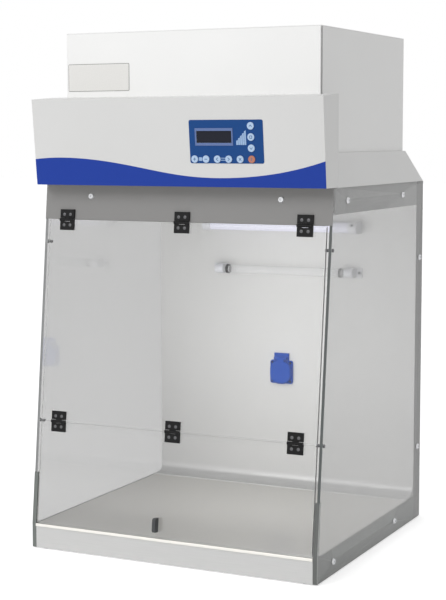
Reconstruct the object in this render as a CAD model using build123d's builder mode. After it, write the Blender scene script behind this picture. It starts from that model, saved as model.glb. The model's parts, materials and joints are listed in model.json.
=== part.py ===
from build123d import *
import os
from math import atan2, cos, radians, sin, tan

os.makedirs("parts", exist_ok=True)

# Bench-top laminar flow hood, sizes in millimetres. +Z is up, -Y is the front.
# The origin is the bottom centre of the envelope, on the bench.

# Envelope
cabin_width = 540.0  # over the clear side panels
cabin_depth = 510.0  # from the base's front face to the rear edge of the sides
base_height = 45.0  # bench to the top of the work surface
total_height = 898.0
top_height = 261.0  # top edge of the side panels to the top of the housing
door_tilt = 6.0  # lean of the front, in degrees from upright

# Stock
sheet = 1.5  # steel sheet
clear_sheet = 5.0  # clear acrylic sheet
fit_gap = 0.3  # between pieces that meet without pressing
door_side_gap = 4.5  # door edge to side panel
touch_gap = 0.25

# Filter and blower housing on top
housing_inset = 32.0  # housing's side, in from the cabin's side
housing_front = 81.0  # behind the base's front face
housing_rear_inset = 25.5  # housing's rear, in from the cabin's rear edge
shoulder_rise = 56.0
shoulder_ledge = 4.0
panel_return = 3.0  # side returns of the front service panel
gasket_depth = 7.5
housing_flange = 12.0

# Fascia
fascia_gap = 0.5  # above the side panels' top edge
fascia_height = 146.0
fascia_lower_front = 30.7  # behind the base's front face
fascia_upper_front = 15.5
fascia_rear_rise = 4.5
graphic_film = 0.3

# Strips round the cabin
strip_height = 43.0
rear_strip = 32.0
ear_height = 134.0
ear_width = 8.0
ear_return = 7.5
ear_fillet = 5.0
lip_width = 12.0
foot_height = 2.0
foot_radius = 11.0
foot_inset = 16.0
base_flange = 28.0
cove_radius = 20.0
cove_foot = 18.0
nose_drop = 5.0
nose_radius = 1.2

# Door, in two hinged leaves
header_height = 60.26  # along the leaning front
lower_hinge_line = 182.0  # along the leaning front, from the base's top edge
door_hinge_gap = 1.0  # hinge line to the edge of a leaf or of the header
flap_floor_gap = 2.0
hinge_edge = 36.5  # outer hinge's middle to the door's side edge
hinge_width = 28.0
hinge_half_height = 18.0
leaf_thickness = 3.0
knuckle_radius = 2.7
hinge_stand = 3.0  # hinge axis in front of the door's face
knuckle_clear = 3.2  # leaf plate to hinge axis
knuckle_gap = 0.4
middle_knuckle = 11.0
pin_radius = 1.2
running_gap = 0.05
hinge_screw_x = 6.0
hinge_screw_reach = 9.2
hinge_screw_hole = 1.7
header_flange = 14.0
pull_x = -23.0
pull_bottom = 11.0
pull_height = 24.0
pull_width = 6.0
pull_depth = 12.0
pull_corner = 4.0
peg_radius = 2.5
peg_reach = 7.0
peg_head_radius = 3.2
peg_head = 1.0
peg_shank = 2.0
upper_peg_drop = 38.3  # below the upper hinge line

# Screws
screw_head_radius = 5.5
screw_head = 2.5
screw_shank = 2.0
screw_length = 7.5
screw_head_taper = 25.0
screw_socket = 2.2
screw_socket_depth = 1.5
small_head_radius = 3.5
screw_clearance = 0.25
rail_screw_front = 124.0  # behind the base's front face
rail_screw_rear = 114.0  # in front of the rear edge
skirt_screw_front = 70.0
skirt_screw_rear = 141.0
rear_screw_rise = 138.5  # above the bench
rear_screw_drop = 141.0  # below the side panels' top edge
header_screw_edge = 91.0  # in from the cabin's side
header_screw_rise = 40.6  # above the header's lower edge

# Air path
filter_side_gap = 18.0  # filter's side to the housing's side
filter_front_gap = 15.0
filter_rear_gap = 16.5
filter_height = 69.0
filter_rim = 14.0
pleat_height = 55.0
pleat_web = 8.0  # paper thickness, measured up the steep folds
pleat_count = 29
gasket_width = 12.0
gasket_height = 6.0
diffuser_column_count = 14
diffuser_row_count = 9
diffuser_hole = 20.0
diffuser_side_margin = 15.0  # filter's side to the nearest holes
diffuser_end_margin = 24.0
blower_drop = 95.0  # top of the housing to the blower plate
blower_flange = 15.0
inlet_radius = 66.0
inlet_flange_radius = 92.0
inlet_bell_radius = 14.0
inlet_length = 22.0
impeller_radius = 115.0
impeller_gap = 3.0
impeller_wall = 2.5
impeller_drop = 73.0  # blower plate to the impeller's underside
impeller_rim_height = 34.0
impeller_eye_height = 50.0
eye_lip = 9.0
blade_count = 7
blade_root_radius = 60.0
blade_turn = 42.0
blade_bow = 9.0
hub_radius = 46.0
hub_top_radius = 37.0
hub_height = 32.0
shaft_radius = 5.0
shaft_end_gap = 2.0
motor_radius = 44.0
motor_gap = 3.0
motor_height = 24.0
motor_flange_radius = 50.0
motor_flange = 3.0
strap = 3.0
strap_width = 60.0
strap_reach = 135.0
strap_foot = 15.0
prefilter_width = 344.0
prefilter_depth = 272.0
prefilter_height = 15.0
grille_slot = 146.0
grille_slot_width = 8.0
grille_pitch = 16.0
grille_rows = 15
grille_column_pitch = 162.0

# Control panel, laid out on the fascia's face
panel_x = 97.5
panel_level = 74.5  # above the fascia's lower edge, along its face
panel_width = 133.0
panel_height = 71.0
panel_corner = 3.0
overlay = 0.5
display_x = 76.0
display_level = 82.3
bezel_width = 68.5
bezel_height = 28.5
bezel_thickness = 0.8
display_width = 63.5
display_height = 19.6
display_recess = 0.3
display_body = 5.0
display_board_width = 76.0
display_board_height = 34.0
board_thickness = 1.6
board_depth = 13.0  # behind the fascia's back
key_radius = 6.0
key_rim = 1.0
key_flange = 1.5
key_proud = 1.3
key_travel = 0.8
key_clearance = 0.2
key_x = 142.5
key_level = 46.0
key_pitch_x = 20.6
key_pitch_up = 18.0
key_stem_radius = 2.5
switch_width = 6.0
switch_height = 5.0
board_width = 128.0
board_height = 66.0
standoff_radius = 3.0
standoff_points = ((-58.0, 30.0), (58.0, 30.0), (58.0, -30.0), (-58.0, -16.5))
display_post_radius = 2.0
display_post_x = 33.0
display_post_up = 12.0
wiring_window_width = 300.0
wiring_window_height = 60.0
wiring_window_rise = 104.5  # above the fascia's lower edge

# Top edge of the coloured band: its height at each end, and points across and up the face
wave_left = 44.3
wave_right = 43.3
wave_crests = (
    (-205.0, 47.0),
    (-90.0, 35.3),
    (20.0, 17.8),
    (108.6, 15.3),
    (190.0, 23.7),
)

# Fittings on the back wall
light_drop = 88.0  # tube axis below the side panels' top edge
light_radius = 10.0
light_half = 141.0
light_stand = 21.0  # tube axis to the wall
holder_width = 17.0
holder_height = 22.0
holder_nose = 11.0
uv_drop = 173.5
uv_x = 8.0
uv_radius = 8.0
uv_glass_half = 118.0
uv_cap = 6.0
uv_cap_radius = 8.4
uv_stand = 18.0
uv_holder_width = 17.0
uv_holder_height = 17.0
uv_foot_width = 28.0
uv_foot = 3.0
uv_screw_reach = 7.0  # screw to the holder's block
socket_level = 265.0
socket_width = 46.5
socket_height = 45.0
socket_plate = 4.0
socket_corner = 4.0
collar_radius = 19.0
collar_length = 4.0
well_radius = 17.5
well_depth = 17.0
well_floor = 8.0
contact_radius = 2.4
contact_spread = 9.5
contact_depth = 5.0
tab_width = 30.0
tab_height = 14.0
lid_size = 43.0
lid_depth = 7.0
lid_wall = 1.6
lid_corner = 16.0
lid_edge = 3.0
lid_hinge_rise = 27.0  # hinge axis above the socket's centre
lid_hinge_stand = 3.5  # hinge axis in front of the plate
lid_knuckle_radius = 3.2
lid_knuckle_width = 15.0
lid_ear = 5.0
lid_arm = 7.0
lid_lip_width = 16.0
lid_lip = 1.5

# Mains inlet on the housing's rear
inlet_x = -150.0
inlet_drop = 138.0  # below the top of the housing
inlet_width = 50.0
inlet_height = 32.0
inlet_flange = 3.0
inlet_lap = 3.0  # flange over the rim of its cut-out
inlet_body_depth = 28.0
inlet_mouth_width = 26.0
inlet_mouth_height = 18.0
inlet_mouth_depth = 18.0
blade_pin_length = 11.0
blade_pin_width = 4.0
blade_pin_thickness = 2.0
blade_pin_pitch = 7.0

# Values worked out from the sizes above
pull_reach = (
    (pull_depth - pull_corner) * cos(radians(door_tilt))
    - (pull_bottom + pull_corner) * sin(radians(door_tilt))
    + pull_corner
)
front_y = -(cabin_depth - pull_reach) / 2
rear_y = front_y + cabin_depth
side_top = total_height - top_height
shoulder_top = side_top + shoulder_rise
fascia_bottom = side_top + fascia_gap
fascia_top = fascia_bottom + fascia_height
half_width = cabin_width / 2
inner_half = half_width - clear_sheet  # inner face of the clear sides
strip_half = inner_half - sheet  # inner face of the strips behind them
door_half = inner_half - door_side_gap
wall_y = rear_y - rear_strip  # front face of the back wall
strip_bottom = side_top - strip_height
floor_half = half_width - ear_return - touch_gap
housing_half = half_width - housing_inset
housing_width = 2 * housing_half
housing_front_y = front_y + housing_front
housing_rear_y = rear_y - housing_rear_inset
lean = tan(radians(door_tilt))
fascia_lean = atan2(fascia_lower_front - fascia_upper_front, fascia_height)

# The leaning front: local x to the right, y up along it, z outwards.
front_plane = Plane(
    origin=(0, front_y, base_height),
    x_dir=(1, 0, 0),
    z_dir=(0, -cos(radians(door_tilt)), sin(radians(door_tilt))),
)
# The fascia's face: local x to the right, y up along it, z outwards.
fascia_plane = Plane(
    origin=(0, front_y + fascia_lower_front, fascia_bottom),
    x_dir=(1, 0, 0),
    z_dir=(0, -cos(fascia_lean), -sin(fascia_lean)),
)

header_bottom = (side_top - base_height) / cos(radians(door_tilt)) - header_height
upper_hinge_line = header_bottom - door_hinge_gap
header_screw_level = header_bottom + header_screw_rise
header_screw_x = half_width - header_screw_edge
rail_front = sheet + header_flange + fit_gap
rail_screw_level = side_top - strip_height / 2
skirt_screw_level = (base_height + foot_height) / 2
rear_screw_y = rear_y - rear_strip / 2
filter_width = housing_width - 2 * filter_side_gap
filter_depth = housing_rear_y - filter_rear_gap - housing_front_y - filter_front_gap
filter_mid_y = housing_front_y + filter_front_gap + filter_depth / 2
blower_y = (housing_front_y + housing_rear_y) / 2
blower_level = total_height - blower_drop
impeller_base = blower_level - impeller_drop
light_level = side_top - light_drop
uv_level = side_top - uv_drop
uv_screw_x = uv_glass_half + uv_cap + uv_holder_width + uv_screw_reach
inlet_level = total_height - inlet_drop
rail_screws = (front_y + rail_screw_front, rear_y - rail_screw_rear)
skirt_screws = (front_y + skirt_screw_front, rear_y - skirt_screw_rear)
rear_screws = (rear_screw_rise, side_top - rear_screw_drop)
sides = ((-1, "left"), (1, "right"))


def front_line(level, inset):
    """Y of the leaning front at a height, a distance behind its outer plane."""
    return front_y + (level - base_height) * lean + inset / cos(radians(door_tilt))


def front_point(reach, depth):
    """Y and Z of a point up along the leaning front, a depth behind its outer plane."""
    tilt = radians(door_tilt)
    return (
        front_y + reach * sin(tilt) + depth * cos(tilt),
        base_height + reach * cos(tilt) - depth * sin(tilt),
    )


peg_depth = clear_sheet + fit_gap + peg_radius
peg_levels = (upper_hinge_line - upper_peg_drop, lower_hinge_line - door_hinge_gap)
peg_points = [front_point(level, peg_depth) for level in peg_levels]
side_screw_points = (
    [(y, rail_screw_level) for y in rail_screws]
    + [(y, skirt_screw_level) for y in skirt_screws]
    + [(rear_screw_y, z) for z in rear_screws]
)


# ---------------------------------------------------------------- base

tray_depth = wall_y - front_y - touch_gap
with BuildPart() as base_tray:
    # Folded steel tray, open underneath, with a return flange for the feet.
    with BuildSketch(Plane.XY.offset(foot_height)):
        with Locations((0, front_y + tray_depth / 2)):
            Rectangle(2 * floor_half, tray_depth)
    extrude(amount=base_height - sheet - foot_height)
    with BuildSketch(Plane.XY.offset(foot_height)):
        with Locations((0, front_y + tray_depth / 2)):
            Rectangle(2 * (floor_half - base_flange), tray_depth - 2 * base_flange)
    extrude(amount=sheet, mode=Mode.SUBTRACT)
    with BuildSketch(Plane.XY.offset(foot_height + sheet)):
        with Locations((0, front_y + tray_depth / 2)):
            Rectangle(2 * (floor_half - sheet), tray_depth - 2 * sheet)
    extrude(amount=base_height - foot_height - 3 * sheet, mode=Mode.SUBTRACT)
base_tray.part.label = "base_tray"
export_step(base_tray.part, "parts/base_tray.step")

with BuildPart() as feet:
    # Four rubber pads under the return flange.
    with BuildSketch(Plane.XY):
        with Locations((0, front_y + tray_depth / 2)):
            with GridLocations(2 * (floor_half - foot_inset), tray_depth - 2 * foot_inset, 2, 2):
                Circle(foot_radius)
    extrude(amount=foot_height)
feet.part.label = "feet"
export_step(feet.part, "parts/feet.step")

with BuildPart() as work_surface:
    # Brushed stainless floor with a rounded nose over the tray's front edge.
    with BuildSketch(Plane.YZ):
        with BuildLine():
            Polyline(
                (front_y + tray_depth, base_height),
                (front_y - sheet, base_height),
                (front_y - sheet, base_height - nose_drop),
                (front_y, base_height - nose_drop),
                (front_y, base_height - sheet),
                (front_y + tray_depth, base_height - sheet),
                close=True,
            )
        make_face()
    extrude(amount=floor_half, both=True)
    nose = work_surface.edges().filter_by(Axis.X).group_by(Axis.Y)[0].sort_by(Axis.Z)[-1]
    fillet(nose, radius=nose_radius)
work_surface.part.label = "work_surface"
export_step(work_surface.part, "parts/work_surface.step")


def make_skirt(side):
    """Bottom side strip with its front ear and the ear's return over the clear sheet's edge."""
    ear_foot_y = front_line(base_height, sheet) + ear_width
    with BuildPart() as skirt:
        with BuildSketch(Plane.YZ.offset(side * strip_half)):
            with BuildLine():
                Polyline(
                    (front_y + sheet, foot_height),
                    (front_line(base_height, sheet), base_height),
                    (front_line(ear_height, sheet), ear_height),
                    (front_line(ear_height, sheet) + ear_width, ear_height),
                    (ear_foot_y, base_height),
                    (wall_y, base_height),
                    (wall_y, foot_height),
                    close=True,
                )
            make_face()
            fillet(vertices().sort_by_distance((ear_foot_y, base_height, 0))[0], radius=ear_fillet)
            with Locations(*[(y, skirt_screw_level) for y in skirt_screws]):
                Circle(screw_shank + screw_clearance, mode=Mode.SUBTRACT)
        extrude(amount=side * sheet)
        with BuildSketch(Plane.YZ.offset(side * (half_width - ear_return))):
            with BuildLine():
                Polyline(
                    (front_y, foot_height),
                    (front_y, base_height),
                    (front_line(ear_height, 0), ear_height),
                    (front_line(ear_height, sheet), ear_height),
                    (front_line(base_height, sheet), base_height),
                    (front_y + sheet, foot_height),
                    close=True,
                )
            make_face()
        extrude(amount=side * ear_return)
    return skirt


for side, name in sides:
    skirt = make_skirt(side)
    skirt.part.label = "skirt_" + name
    export_step(skirt.part, "parts/skirt_" + name + ".step")


# ---------------------------------------------------------------- cabin walls

def make_side_panel(side):
    """Clear acrylic side with a leaning front edge, drilled for its screws and door pegs."""
    with BuildPart() as panel:
        with BuildSketch(Plane.YZ.offset(side * inner_half)):
            with BuildLine():
                Polyline(
                    (front_y + sheet, foot_height),
                    (front_line(base_height, sheet), base_height),
                    (front_line(side_top, sheet), side_top),
                    (rear_y, side_top),
                    (rear_y, foot_height),
                    close=True,
                )
            make_face()
            with Locations(*side_screw_points):
                Circle(screw_shank + screw_clearance, mode=Mode.SUBTRACT)
            with Locations(*peg_points):
                Circle(peg_shank + screw_clearance, mode=Mode.SUBTRACT)
        extrude(amount=side * clear_sheet)
    return panel


for side, name in sides:
    panel = make_side_panel(side)
    panel.part.label = "side_panel_" + name
    export_step(panel.part, "parts/side_panel_" + name + ".step")


def make_top_rail(side):
    """Strip along the top of a side, with a lip below that carries the diffuser."""
    with BuildPart() as rail:
        with BuildSketch(Plane.YZ.offset(side * strip_half)):
            with BuildLine():
                Polyline(
                    (front_line(strip_bottom, rail_front), strip_bottom),
                    (front_line(side_top, rail_front), side_top),
                    (wall_y, side_top),
                    (wall_y, strip_bottom),
                    close=True,
                )
            make_face()
            with Locations(*[(y, rail_screw_level) for y in rail_screws]):
                Circle(screw_shank + screw_clearance, mode=Mode.SUBTRACT)
        extrude(amount=side * sheet)
        with BuildSketch(Plane.XY.offset(strip_bottom)):
            with Locations((side * (inner_half - lip_width / 2), wall_y)):
                Rectangle(
                    lip_width,
                    wall_y - front_line(strip_bottom, rail_front),
                    align=(Align.CENTER, Align.MAX),
                )
        extrude(amount=sheet)
    return rail


for side, name in sides:
    rail = make_top_rail(side)
    rail.part.label = "top_rail_" + name
    export_step(rail.part, "parts/top_rail_" + name + ".step")

with BuildPart() as back_panel:
    # Back wall coved into the floor, with side flanges folded back along the clear sides.
    with BuildSketch(Plane.YZ):
        with BuildLine():
            Line((wall_y - cove_radius - cove_foot, base_height), (wall_y - cove_radius, base_height))
            CenterArc(
                (wall_y - cove_radius, base_height + sheet + cove_radius), cove_radius + sheet, -90, 90
            )
            Line(
                (wall_y + sheet, base_height + sheet + cove_radius),
                (wall_y + sheet, side_top),
            )
            Line((wall_y + sheet, side_top), (wall_y, side_top))
            Line((wall_y, side_top), (wall_y, base_height + sheet + cove_radius))
            CenterArc((wall_y - cove_radius, base_height + sheet + cove_radius), cove_radius, 0, -90)
            Line(
                (wall_y - cove_radius, base_height + sheet),
                (wall_y - cove_radius - cove_foot, base_height + sheet),
            )
            Line(
                (wall_y - cove_radius - cove_foot, base_height + sheet),
                (wall_y - cove_radius - cove_foot, base_height),
            )
        make_face()
    extrude(amount=strip_half - touch_gap, both=True)
    with BuildSketch(Plane.XY.offset(foot_height)):
        with Locations((0, wall_y)):
            Rectangle(2 * inner_half, sheet, align=(Align.CENTER, Align.MIN))
        with GridLocations(2 * inner_half - sheet, 0, 2, 1):
            with Locations((0, wall_y)):
                Rectangle(sheet, rear_strip, align=(Align.CENTER, Align.MIN))
        with GridLocations(2 * inner_half - lip_width, 0, 2, 1):
            with Locations((0, rear_y)):
                Rectangle(lip_width, sheet, align=(Align.CENTER, Align.MAX))
    extrude(amount=side_top - foot_height)
    with BuildSketch(Plane.YZ.offset(-half_width)):
        with Locations(*[(rear_screw_y, z) for z in rear_screws]):
            Circle(screw_shank + screw_clearance)
    extrude(amount=cabin_width, mode=Mode.SUBTRACT)
    with BuildSketch(Plane.XZ.offset(-wall_y)):
        with Locations((0, socket_level)):
            Circle(well_radius + lid_wall + touch_gap)
        with Locations((uv_x - uv_screw_x, uv_level), (uv_x + uv_screw_x, uv_level)):
            Circle(screw_shank + screw_clearance)
    extrude(amount=-2 * sheet, mode=Mode.SUBTRACT)
back_panel.part.label = "back_panel"
export_step(back_panel.part, "parts/back_panel.step")

with BuildPart() as header_panel:
    # Leaning steel header above the door, with an inward flange along each long edge.
    with BuildSketch(front_plane):
        with Locations((0, header_bottom)):
            Rectangle(cabin_width, header_height, align=(Align.CENTER, Align.MIN))
        with Locations((-header_screw_x, header_screw_level), (header_screw_x, header_screw_level)):
            Circle(screw_shank + screw_clearance, mode=Mode.SUBTRACT)
    extrude(amount=-sheet)
    with BuildSketch(front_plane.offset(-sheet)):
        with Locations((0, header_bottom)):
            Rectangle(2 * (strip_half - lip_width), sheet, align=(Align.CENTER, Align.MIN))
        with Locations((0, header_bottom + header_height - 2 * sheet)):
            Rectangle(2 * (strip_half - lip_width), sheet, align=(Align.CENTER, Align.MAX))
    extrude(amount=-header_flange)
header_panel.part.label = "header_panel"
export_step(header_panel.part, "parts/header_panel.step")


# ---------------------------------------------------------------- shoulder and housing

def frustum(inset, level):
    """Solid from the cabin's top outline up to a level, each side drawn in by a wall."""
    rise = (level - side_top) / (shoulder_top - side_top)
    top_half = half_width - (half_width - housing_half - shoulder_ledge) * rise
    top_rear = rear_y - (rear_y - housing_rear_y - shoulder_ledge) * rise
    front = housing_front_y + inset
    with BuildPart() as solid:
        with BuildSketch(Plane.XY.offset(side_top)):
            with Locations((0, front)):
                Rectangle(
                    2 * (half_width - inset), rear_y - inset - front, align=(Align.CENTER, Align.MIN)
                )
        with BuildSketch(Plane.XY.offset(level)):
            with Locations((0, front)):
                Rectangle(
                    2 * (top_half - inset), top_rear - inset - front, align=(Align.CENTER, Align.MIN)
                )
        loft()
    return solid.part


with BuildPart() as shoulder_cowl:
    # Welded sheet cowl: sloping sides and rear, open below, with the filter's seat above.
    add(frustum(0, shoulder_top))
    add(frustum(sheet, shoulder_top - sheet), mode=Mode.SUBTRACT)
    with BuildSketch(Plane.XY.offset(shoulder_top - sheet)):
        with Locations((0, filter_mid_y)):
            Rectangle(filter_width - 2 * gasket_width, filter_depth - 2 * gasket_width)
    extrude(amount=sheet, mode=Mode.SUBTRACT)
shoulder_cowl.part.label = "shoulder_cowl"
export_step(shoulder_cowl.part, "parts/shoulder_cowl.step")

wrap_front_y = housing_front_y + sheet + gasket_depth
wall_top = total_height - sheet
with BuildPart() as housing_wrap:
    # Sides and rear of the housing, folded from one sheet with front returns.
    with BuildSketch(Plane.XY.offset(shoulder_top)):
        with Locations((0, wrap_front_y)):
            Rectangle(housing_width, housing_rear_y - wrap_front_y, align=(Align.CENTER, Align.MIN))
            Rectangle(
                housing_width - 2 * sheet,
                housing_rear_y - wrap_front_y - sheet,
                align=(Align.CENTER, Align.MIN),
                mode=Mode.SUBTRACT,
            )
        with GridLocations(housing_width - housing_flange, 0, 2, 1):
            with Locations((0, wrap_front_y)):
                Rectangle(housing_flange, sheet, align=(Align.CENTER, Align.MIN))
    extrude(amount=wall_top - shoulder_top)
    with BuildSketch(Plane.XZ.offset(-housing_rear_y)):
        with Locations((inlet_x, inlet_level)):
            Rectangle(inlet_width - 2 * inlet_lap, inlet_height - 2 * inlet_lap)
    extrude(amount=2 * sheet, both=True, mode=Mode.SUBTRACT)
housing_wrap.part.label = "housing_wrap"
export_step(housing_wrap.part, "parts/housing_wrap.step")

with BuildPart() as housing_front_panel:
    # Service panel with short side returns.
    with BuildSketch(Plane.XY.offset(shoulder_top)):
        with Locations((0, housing_front_y)):
            Rectangle(housing_width, panel_return, align=(Align.CENTER, Align.MIN))
        with Locations((0, housing_front_y + sheet)):
            Rectangle(
                housing_width - 2 * sheet,
                panel_return,
                align=(Align.CENTER, Align.MIN),
                mode=Mode.SUBTRACT,
            )
    extrude(amount=wall_top - shoulder_top)
housing_front_panel.part.label = "housing_front_panel"
export_step(housing_front_panel.part, "parts/housing_front_panel.step")

with BuildPart() as panel_gasket:
    # Dark rubber frame in the groove behind the service panel.
    with BuildSketch(Plane.XZ.offset(-(housing_front_y + sheet))):
        with Locations((0, (shoulder_top + wall_top) / 2)):
            Rectangle(housing_width - 2 * panel_return, wall_top - shoulder_top)
            Rectangle(
                housing_width - 2 * panel_return - 2 * gasket_width,
                wall_top - shoulder_top - 2 * gasket_width,
                mode=Mode.SUBTRACT,
            )
    extrude(amount=-gasket_depth)
panel_gasket.part.label = "panel_gasket"
export_step(panel_gasket.part, "parts/panel_gasket.step")

cover_depth = housing_rear_y - housing_front_y
cover_front_y = wrap_front_y + sheet + fit_gap
cover_rear_y = housing_rear_y - sheet - fit_gap
with BuildPart() as top_cover:
    # Flat cover with an intake grille and a flange that drops inside the wrap.
    with BuildSketch(Plane.XY.offset(wall_top)):
        with Locations((0, housing_front_y + cover_depth / 2)):
            Rectangle(housing_width, cover_depth)
            with GridLocations(grille_column_pitch, grille_pitch, 2, grille_rows):
                SlotOverall(grille_slot, grille_slot_width, mode=Mode.SUBTRACT)
    extrude(amount=sheet)
    with BuildSketch(Plane.XY.offset(wall_top)):
        with Locations((0, (cover_front_y + cover_rear_y) / 2)):
            Rectangle(housing_width - 2 * (sheet + fit_gap), cover_rear_y - cover_front_y)
            Rectangle(
                housing_width - 2 * (2 * sheet + fit_gap),
                cover_rear_y - cover_front_y - 2 * sheet,
                mode=Mode.SUBTRACT,
            )
    extrude(amount=-housing_flange)
top_cover.part.label = "top_cover"
export_step(top_cover.part, "parts/top_cover.step")

with BuildPart() as prefilter:
    # Open-cell foam pad against the underside of the grille.
    with BuildSketch(Plane.XY.offset(wall_top)):
        with Locations((0, housing_front_y + cover_depth / 2)):
            Rectangle(prefilter_width, prefilter_depth)
    extrude(amount=-prefilter_height)
    fillet(prefilter.edges().filter_by(Axis.Z), radius=prefilter_height / 2)
prefilter.part.label = "prefilter"
export_step(prefilter.part, "parts/prefilter.step")


# ---------------------------------------------------------------- blower

with BuildPart() as blower_plate:
    # Shelf across the housing with a round hole for the inlet ring, flanged down all round.
    with BuildSketch(Plane.XY.offset(blower_level)):
        with Locations((0, (cover_front_y + cover_rear_y) / 2)):
            Rectangle(housing_width - 2 * (sheet + fit_gap), cover_rear_y - cover_front_y)
        with Locations((0, blower_y)):
            Circle(inlet_radius + inlet_bell_radius, mode=Mode.SUBTRACT)
    extrude(amount=sheet)
    with BuildSketch(Plane.XY.offset(blower_level)):
        with Locations((0, (cover_front_y + cover_rear_y) / 2)):
            Rectangle(housing_width - 2 * (sheet + fit_gap), cover_rear_y - cover_front_y)
            Rectangle(
                housing_width - 2 * (2 * sheet + fit_gap),
                cover_rear_y - cover_front_y - 2 * sheet,
                mode=Mode.SUBTRACT,
            )
    extrude(amount=-blower_flange)
blower_plate.part.label = "blower_plate"
export_step(blower_plate.part, "parts/blower_plate.step")

blower_axis = Axis((0, blower_y, 0), (0, 0, 1))
blower_section = Plane(origin=(0, blower_y, 0), x_dir=(1, 0, 0), z_dir=(0, -1, 0))
ring_top = blower_level + 2 * sheet
with BuildPart() as inlet_ring:
    # Spun bellmouth: flat flange, quarter-round throat and a short straight lip.
    with BuildSketch(blower_section):
        with BuildLine():
            Line((inlet_flange_radius, ring_top), (inlet_radius + inlet_bell_radius, ring_top))
            CenterArc(
                (inlet_radius + inlet_bell_radius, ring_top - inlet_bell_radius), inlet_bell_radius, 90, 90
            )
            Line((inlet_radius, ring_top - inlet_bell_radius), (inlet_radius, ring_top - inlet_length))
            Line(
                (inlet_radius, ring_top - inlet_length), (inlet_radius + sheet, ring_top - inlet_length)
            )
            Line(
                (inlet_radius + sheet, ring_top - inlet_length),
                (inlet_radius + sheet, ring_top - inlet_bell_radius),
            )
            CenterArc(
                (inlet_radius + inlet_bell_radius, ring_top - inlet_bell_radius),
                inlet_bell_radius - sheet,
                180,
                -90,
            )
            Line(
                (inlet_radius + inlet_bell_radius, ring_top - sheet),
                (inlet_flange_radius, ring_top - sheet),
            )
            Line((inlet_flange_radius, ring_top - sheet), (inlet_flange_radius, ring_top))
        make_face()
    revolve(axis=blower_axis)
inlet_ring.part.label = "inlet_ring"
export_step(inlet_ring.part, "parts/inlet_ring.step")

eye_radius = inlet_radius + sheet + impeller_gap
blade_floor = impeller_base + impeller_wall
with BuildPart() as impeller:
    # Backward-curved impeller: back plate, hub, swept blades and a flared shroud.
    with BuildSketch(Plane.XY.offset(blade_floor)):
        with Locations((0, blower_y)):
            with PolarLocations(0, blade_count):
                with BuildSketch(mode=Mode.PRIVATE) as blade:
                    with BuildLine() as blade_line:
                        blade_root = Vector(blade_root_radius, 0)
                        blade_tip = Vector(impeller_radius - impeller_wall, 0).rotate(Axis.Z, -blade_turn)
                        ThreePointArc(
                            blade_root,
                            (blade_root + blade_tip) / 2
                            + (blade_tip - blade_root).normalized().rotate(Axis.Z, 90) * blade_bow,
                            blade_tip,
                        )
                        offset(amount=impeller_wall / 2)
                    make_face()
                add(blade.sketch)
    extrude(amount=impeller_eye_height)
    with BuildSketch(blower_section):
        with BuildLine():
            Polyline(
                (impeller_radius + impeller_wall, impeller_base + impeller_rim_height),
                (eye_radius, impeller_base + impeller_eye_height),
                (0, impeller_base + impeller_eye_height),
                (0, impeller_base + 2 * impeller_eye_height),
                (impeller_radius + impeller_wall, impeller_base + 2 * impeller_eye_height),
                close=True,
            )
        make_face()
    revolve(axis=blower_axis, mode=Mode.SUBTRACT)
    with BuildSketch(blower_section):
        with BuildLine():
            Polyline(
                (impeller_radius, impeller_base + impeller_rim_height - impeller_wall),
                (eye_radius, impeller_base + impeller_eye_height - impeller_wall),
                (eye_radius, impeller_base + impeller_eye_height + eye_lip),
                (eye_radius + sheet, impeller_base + impeller_eye_height + eye_lip),
                (eye_radius + sheet, impeller_base + impeller_eye_height),
                (impeller_radius, impeller_base + impeller_rim_height),
                close=True,
            )
        make_face()
        with BuildLine():
            Polyline(
                (0, impeller_base),
                (impeller_radius, impeller_base),
                (impeller_radius, blade_floor),
                (hub_radius, blade_floor),
                (hub_top_radius, impeller_base + hub_height),
                (0, impeller_base + hub_height),
                close=True,
            )
        make_face()
    revolve(axis=blower_axis)
    with BuildSketch(Plane.XY.offset(impeller_base)):
        with Locations((0, blower_y)):
            Circle(shaft_radius + running_gap)
    extrude(amount=hub_height - 2 * impeller_wall, mode=Mode.SUBTRACT)
impeller.part.label = "impeller"
export_step(impeller.part, "parts/impeller.step")

motor_top = impeller_base - motor_gap
motor_bottom = motor_top - motor_height - motor_flange
with BuildPart() as motor:
    # External-rotor motor: mounting flange, can and the shaft that the impeller runs on.
    with BuildSketch(Plane.XY.offset(motor_bottom)):
        with Locations((0, blower_y)):
            Circle(motor_flange_radius)
    extrude(amount=motor_flange)
    with BuildSketch(Plane.XY.offset(motor_bottom + motor_flange)):
        with Locations((0, blower_y)):
            Circle(motor_radius)
    extrude(amount=motor_height)
    fillet(motor.edges().group_by(Axis.Z)[-1], radius=motor_flange)
    with BuildSketch(Plane.XY.offset(motor_top - motor_flange)):
        with Locations((0, blower_y)):
            Circle(shaft_radius)
    extrude(amount=motor_gap + hub_height - 2 * impeller_wall - shaft_end_gap + motor_flange)
motor.part.label = "motor"
export_step(motor.part, "parts/motor.step")

with BuildPart() as motor_bracket:
    # Bent strap that hangs the motor below the blower plate.
    with BuildSketch(blower_section):
        with BuildLine():
            Polyline(
                (-strap_reach, motor_bottom - strap),
                (strap_reach, motor_bottom - strap),
                (strap_reach, blower_level - strap),
                (strap_reach + strap_foot, blower_level - strap),
                (strap_reach + strap_foot, blower_level),
                (strap_reach - strap, blower_level),
                (strap_reach - strap, motor_bottom),
                (-strap_reach + strap, motor_bottom),
                (-strap_reach + strap, blower_level),
                (-strap_reach - strap_foot, blower_level),
                (-strap_reach - strap_foot, blower_level - strap),
                (-strap_reach, blower_level - strap),
                close=True,
            )
        make_face()
    extrude(amount=strap_width / 2, both=True)
motor_bracket.part.label = "motor_bracket"
export_step(motor_bracket.part, "parts/motor_bracket.step")


# ---------------------------------------------------------------- filter and diffuser

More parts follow.
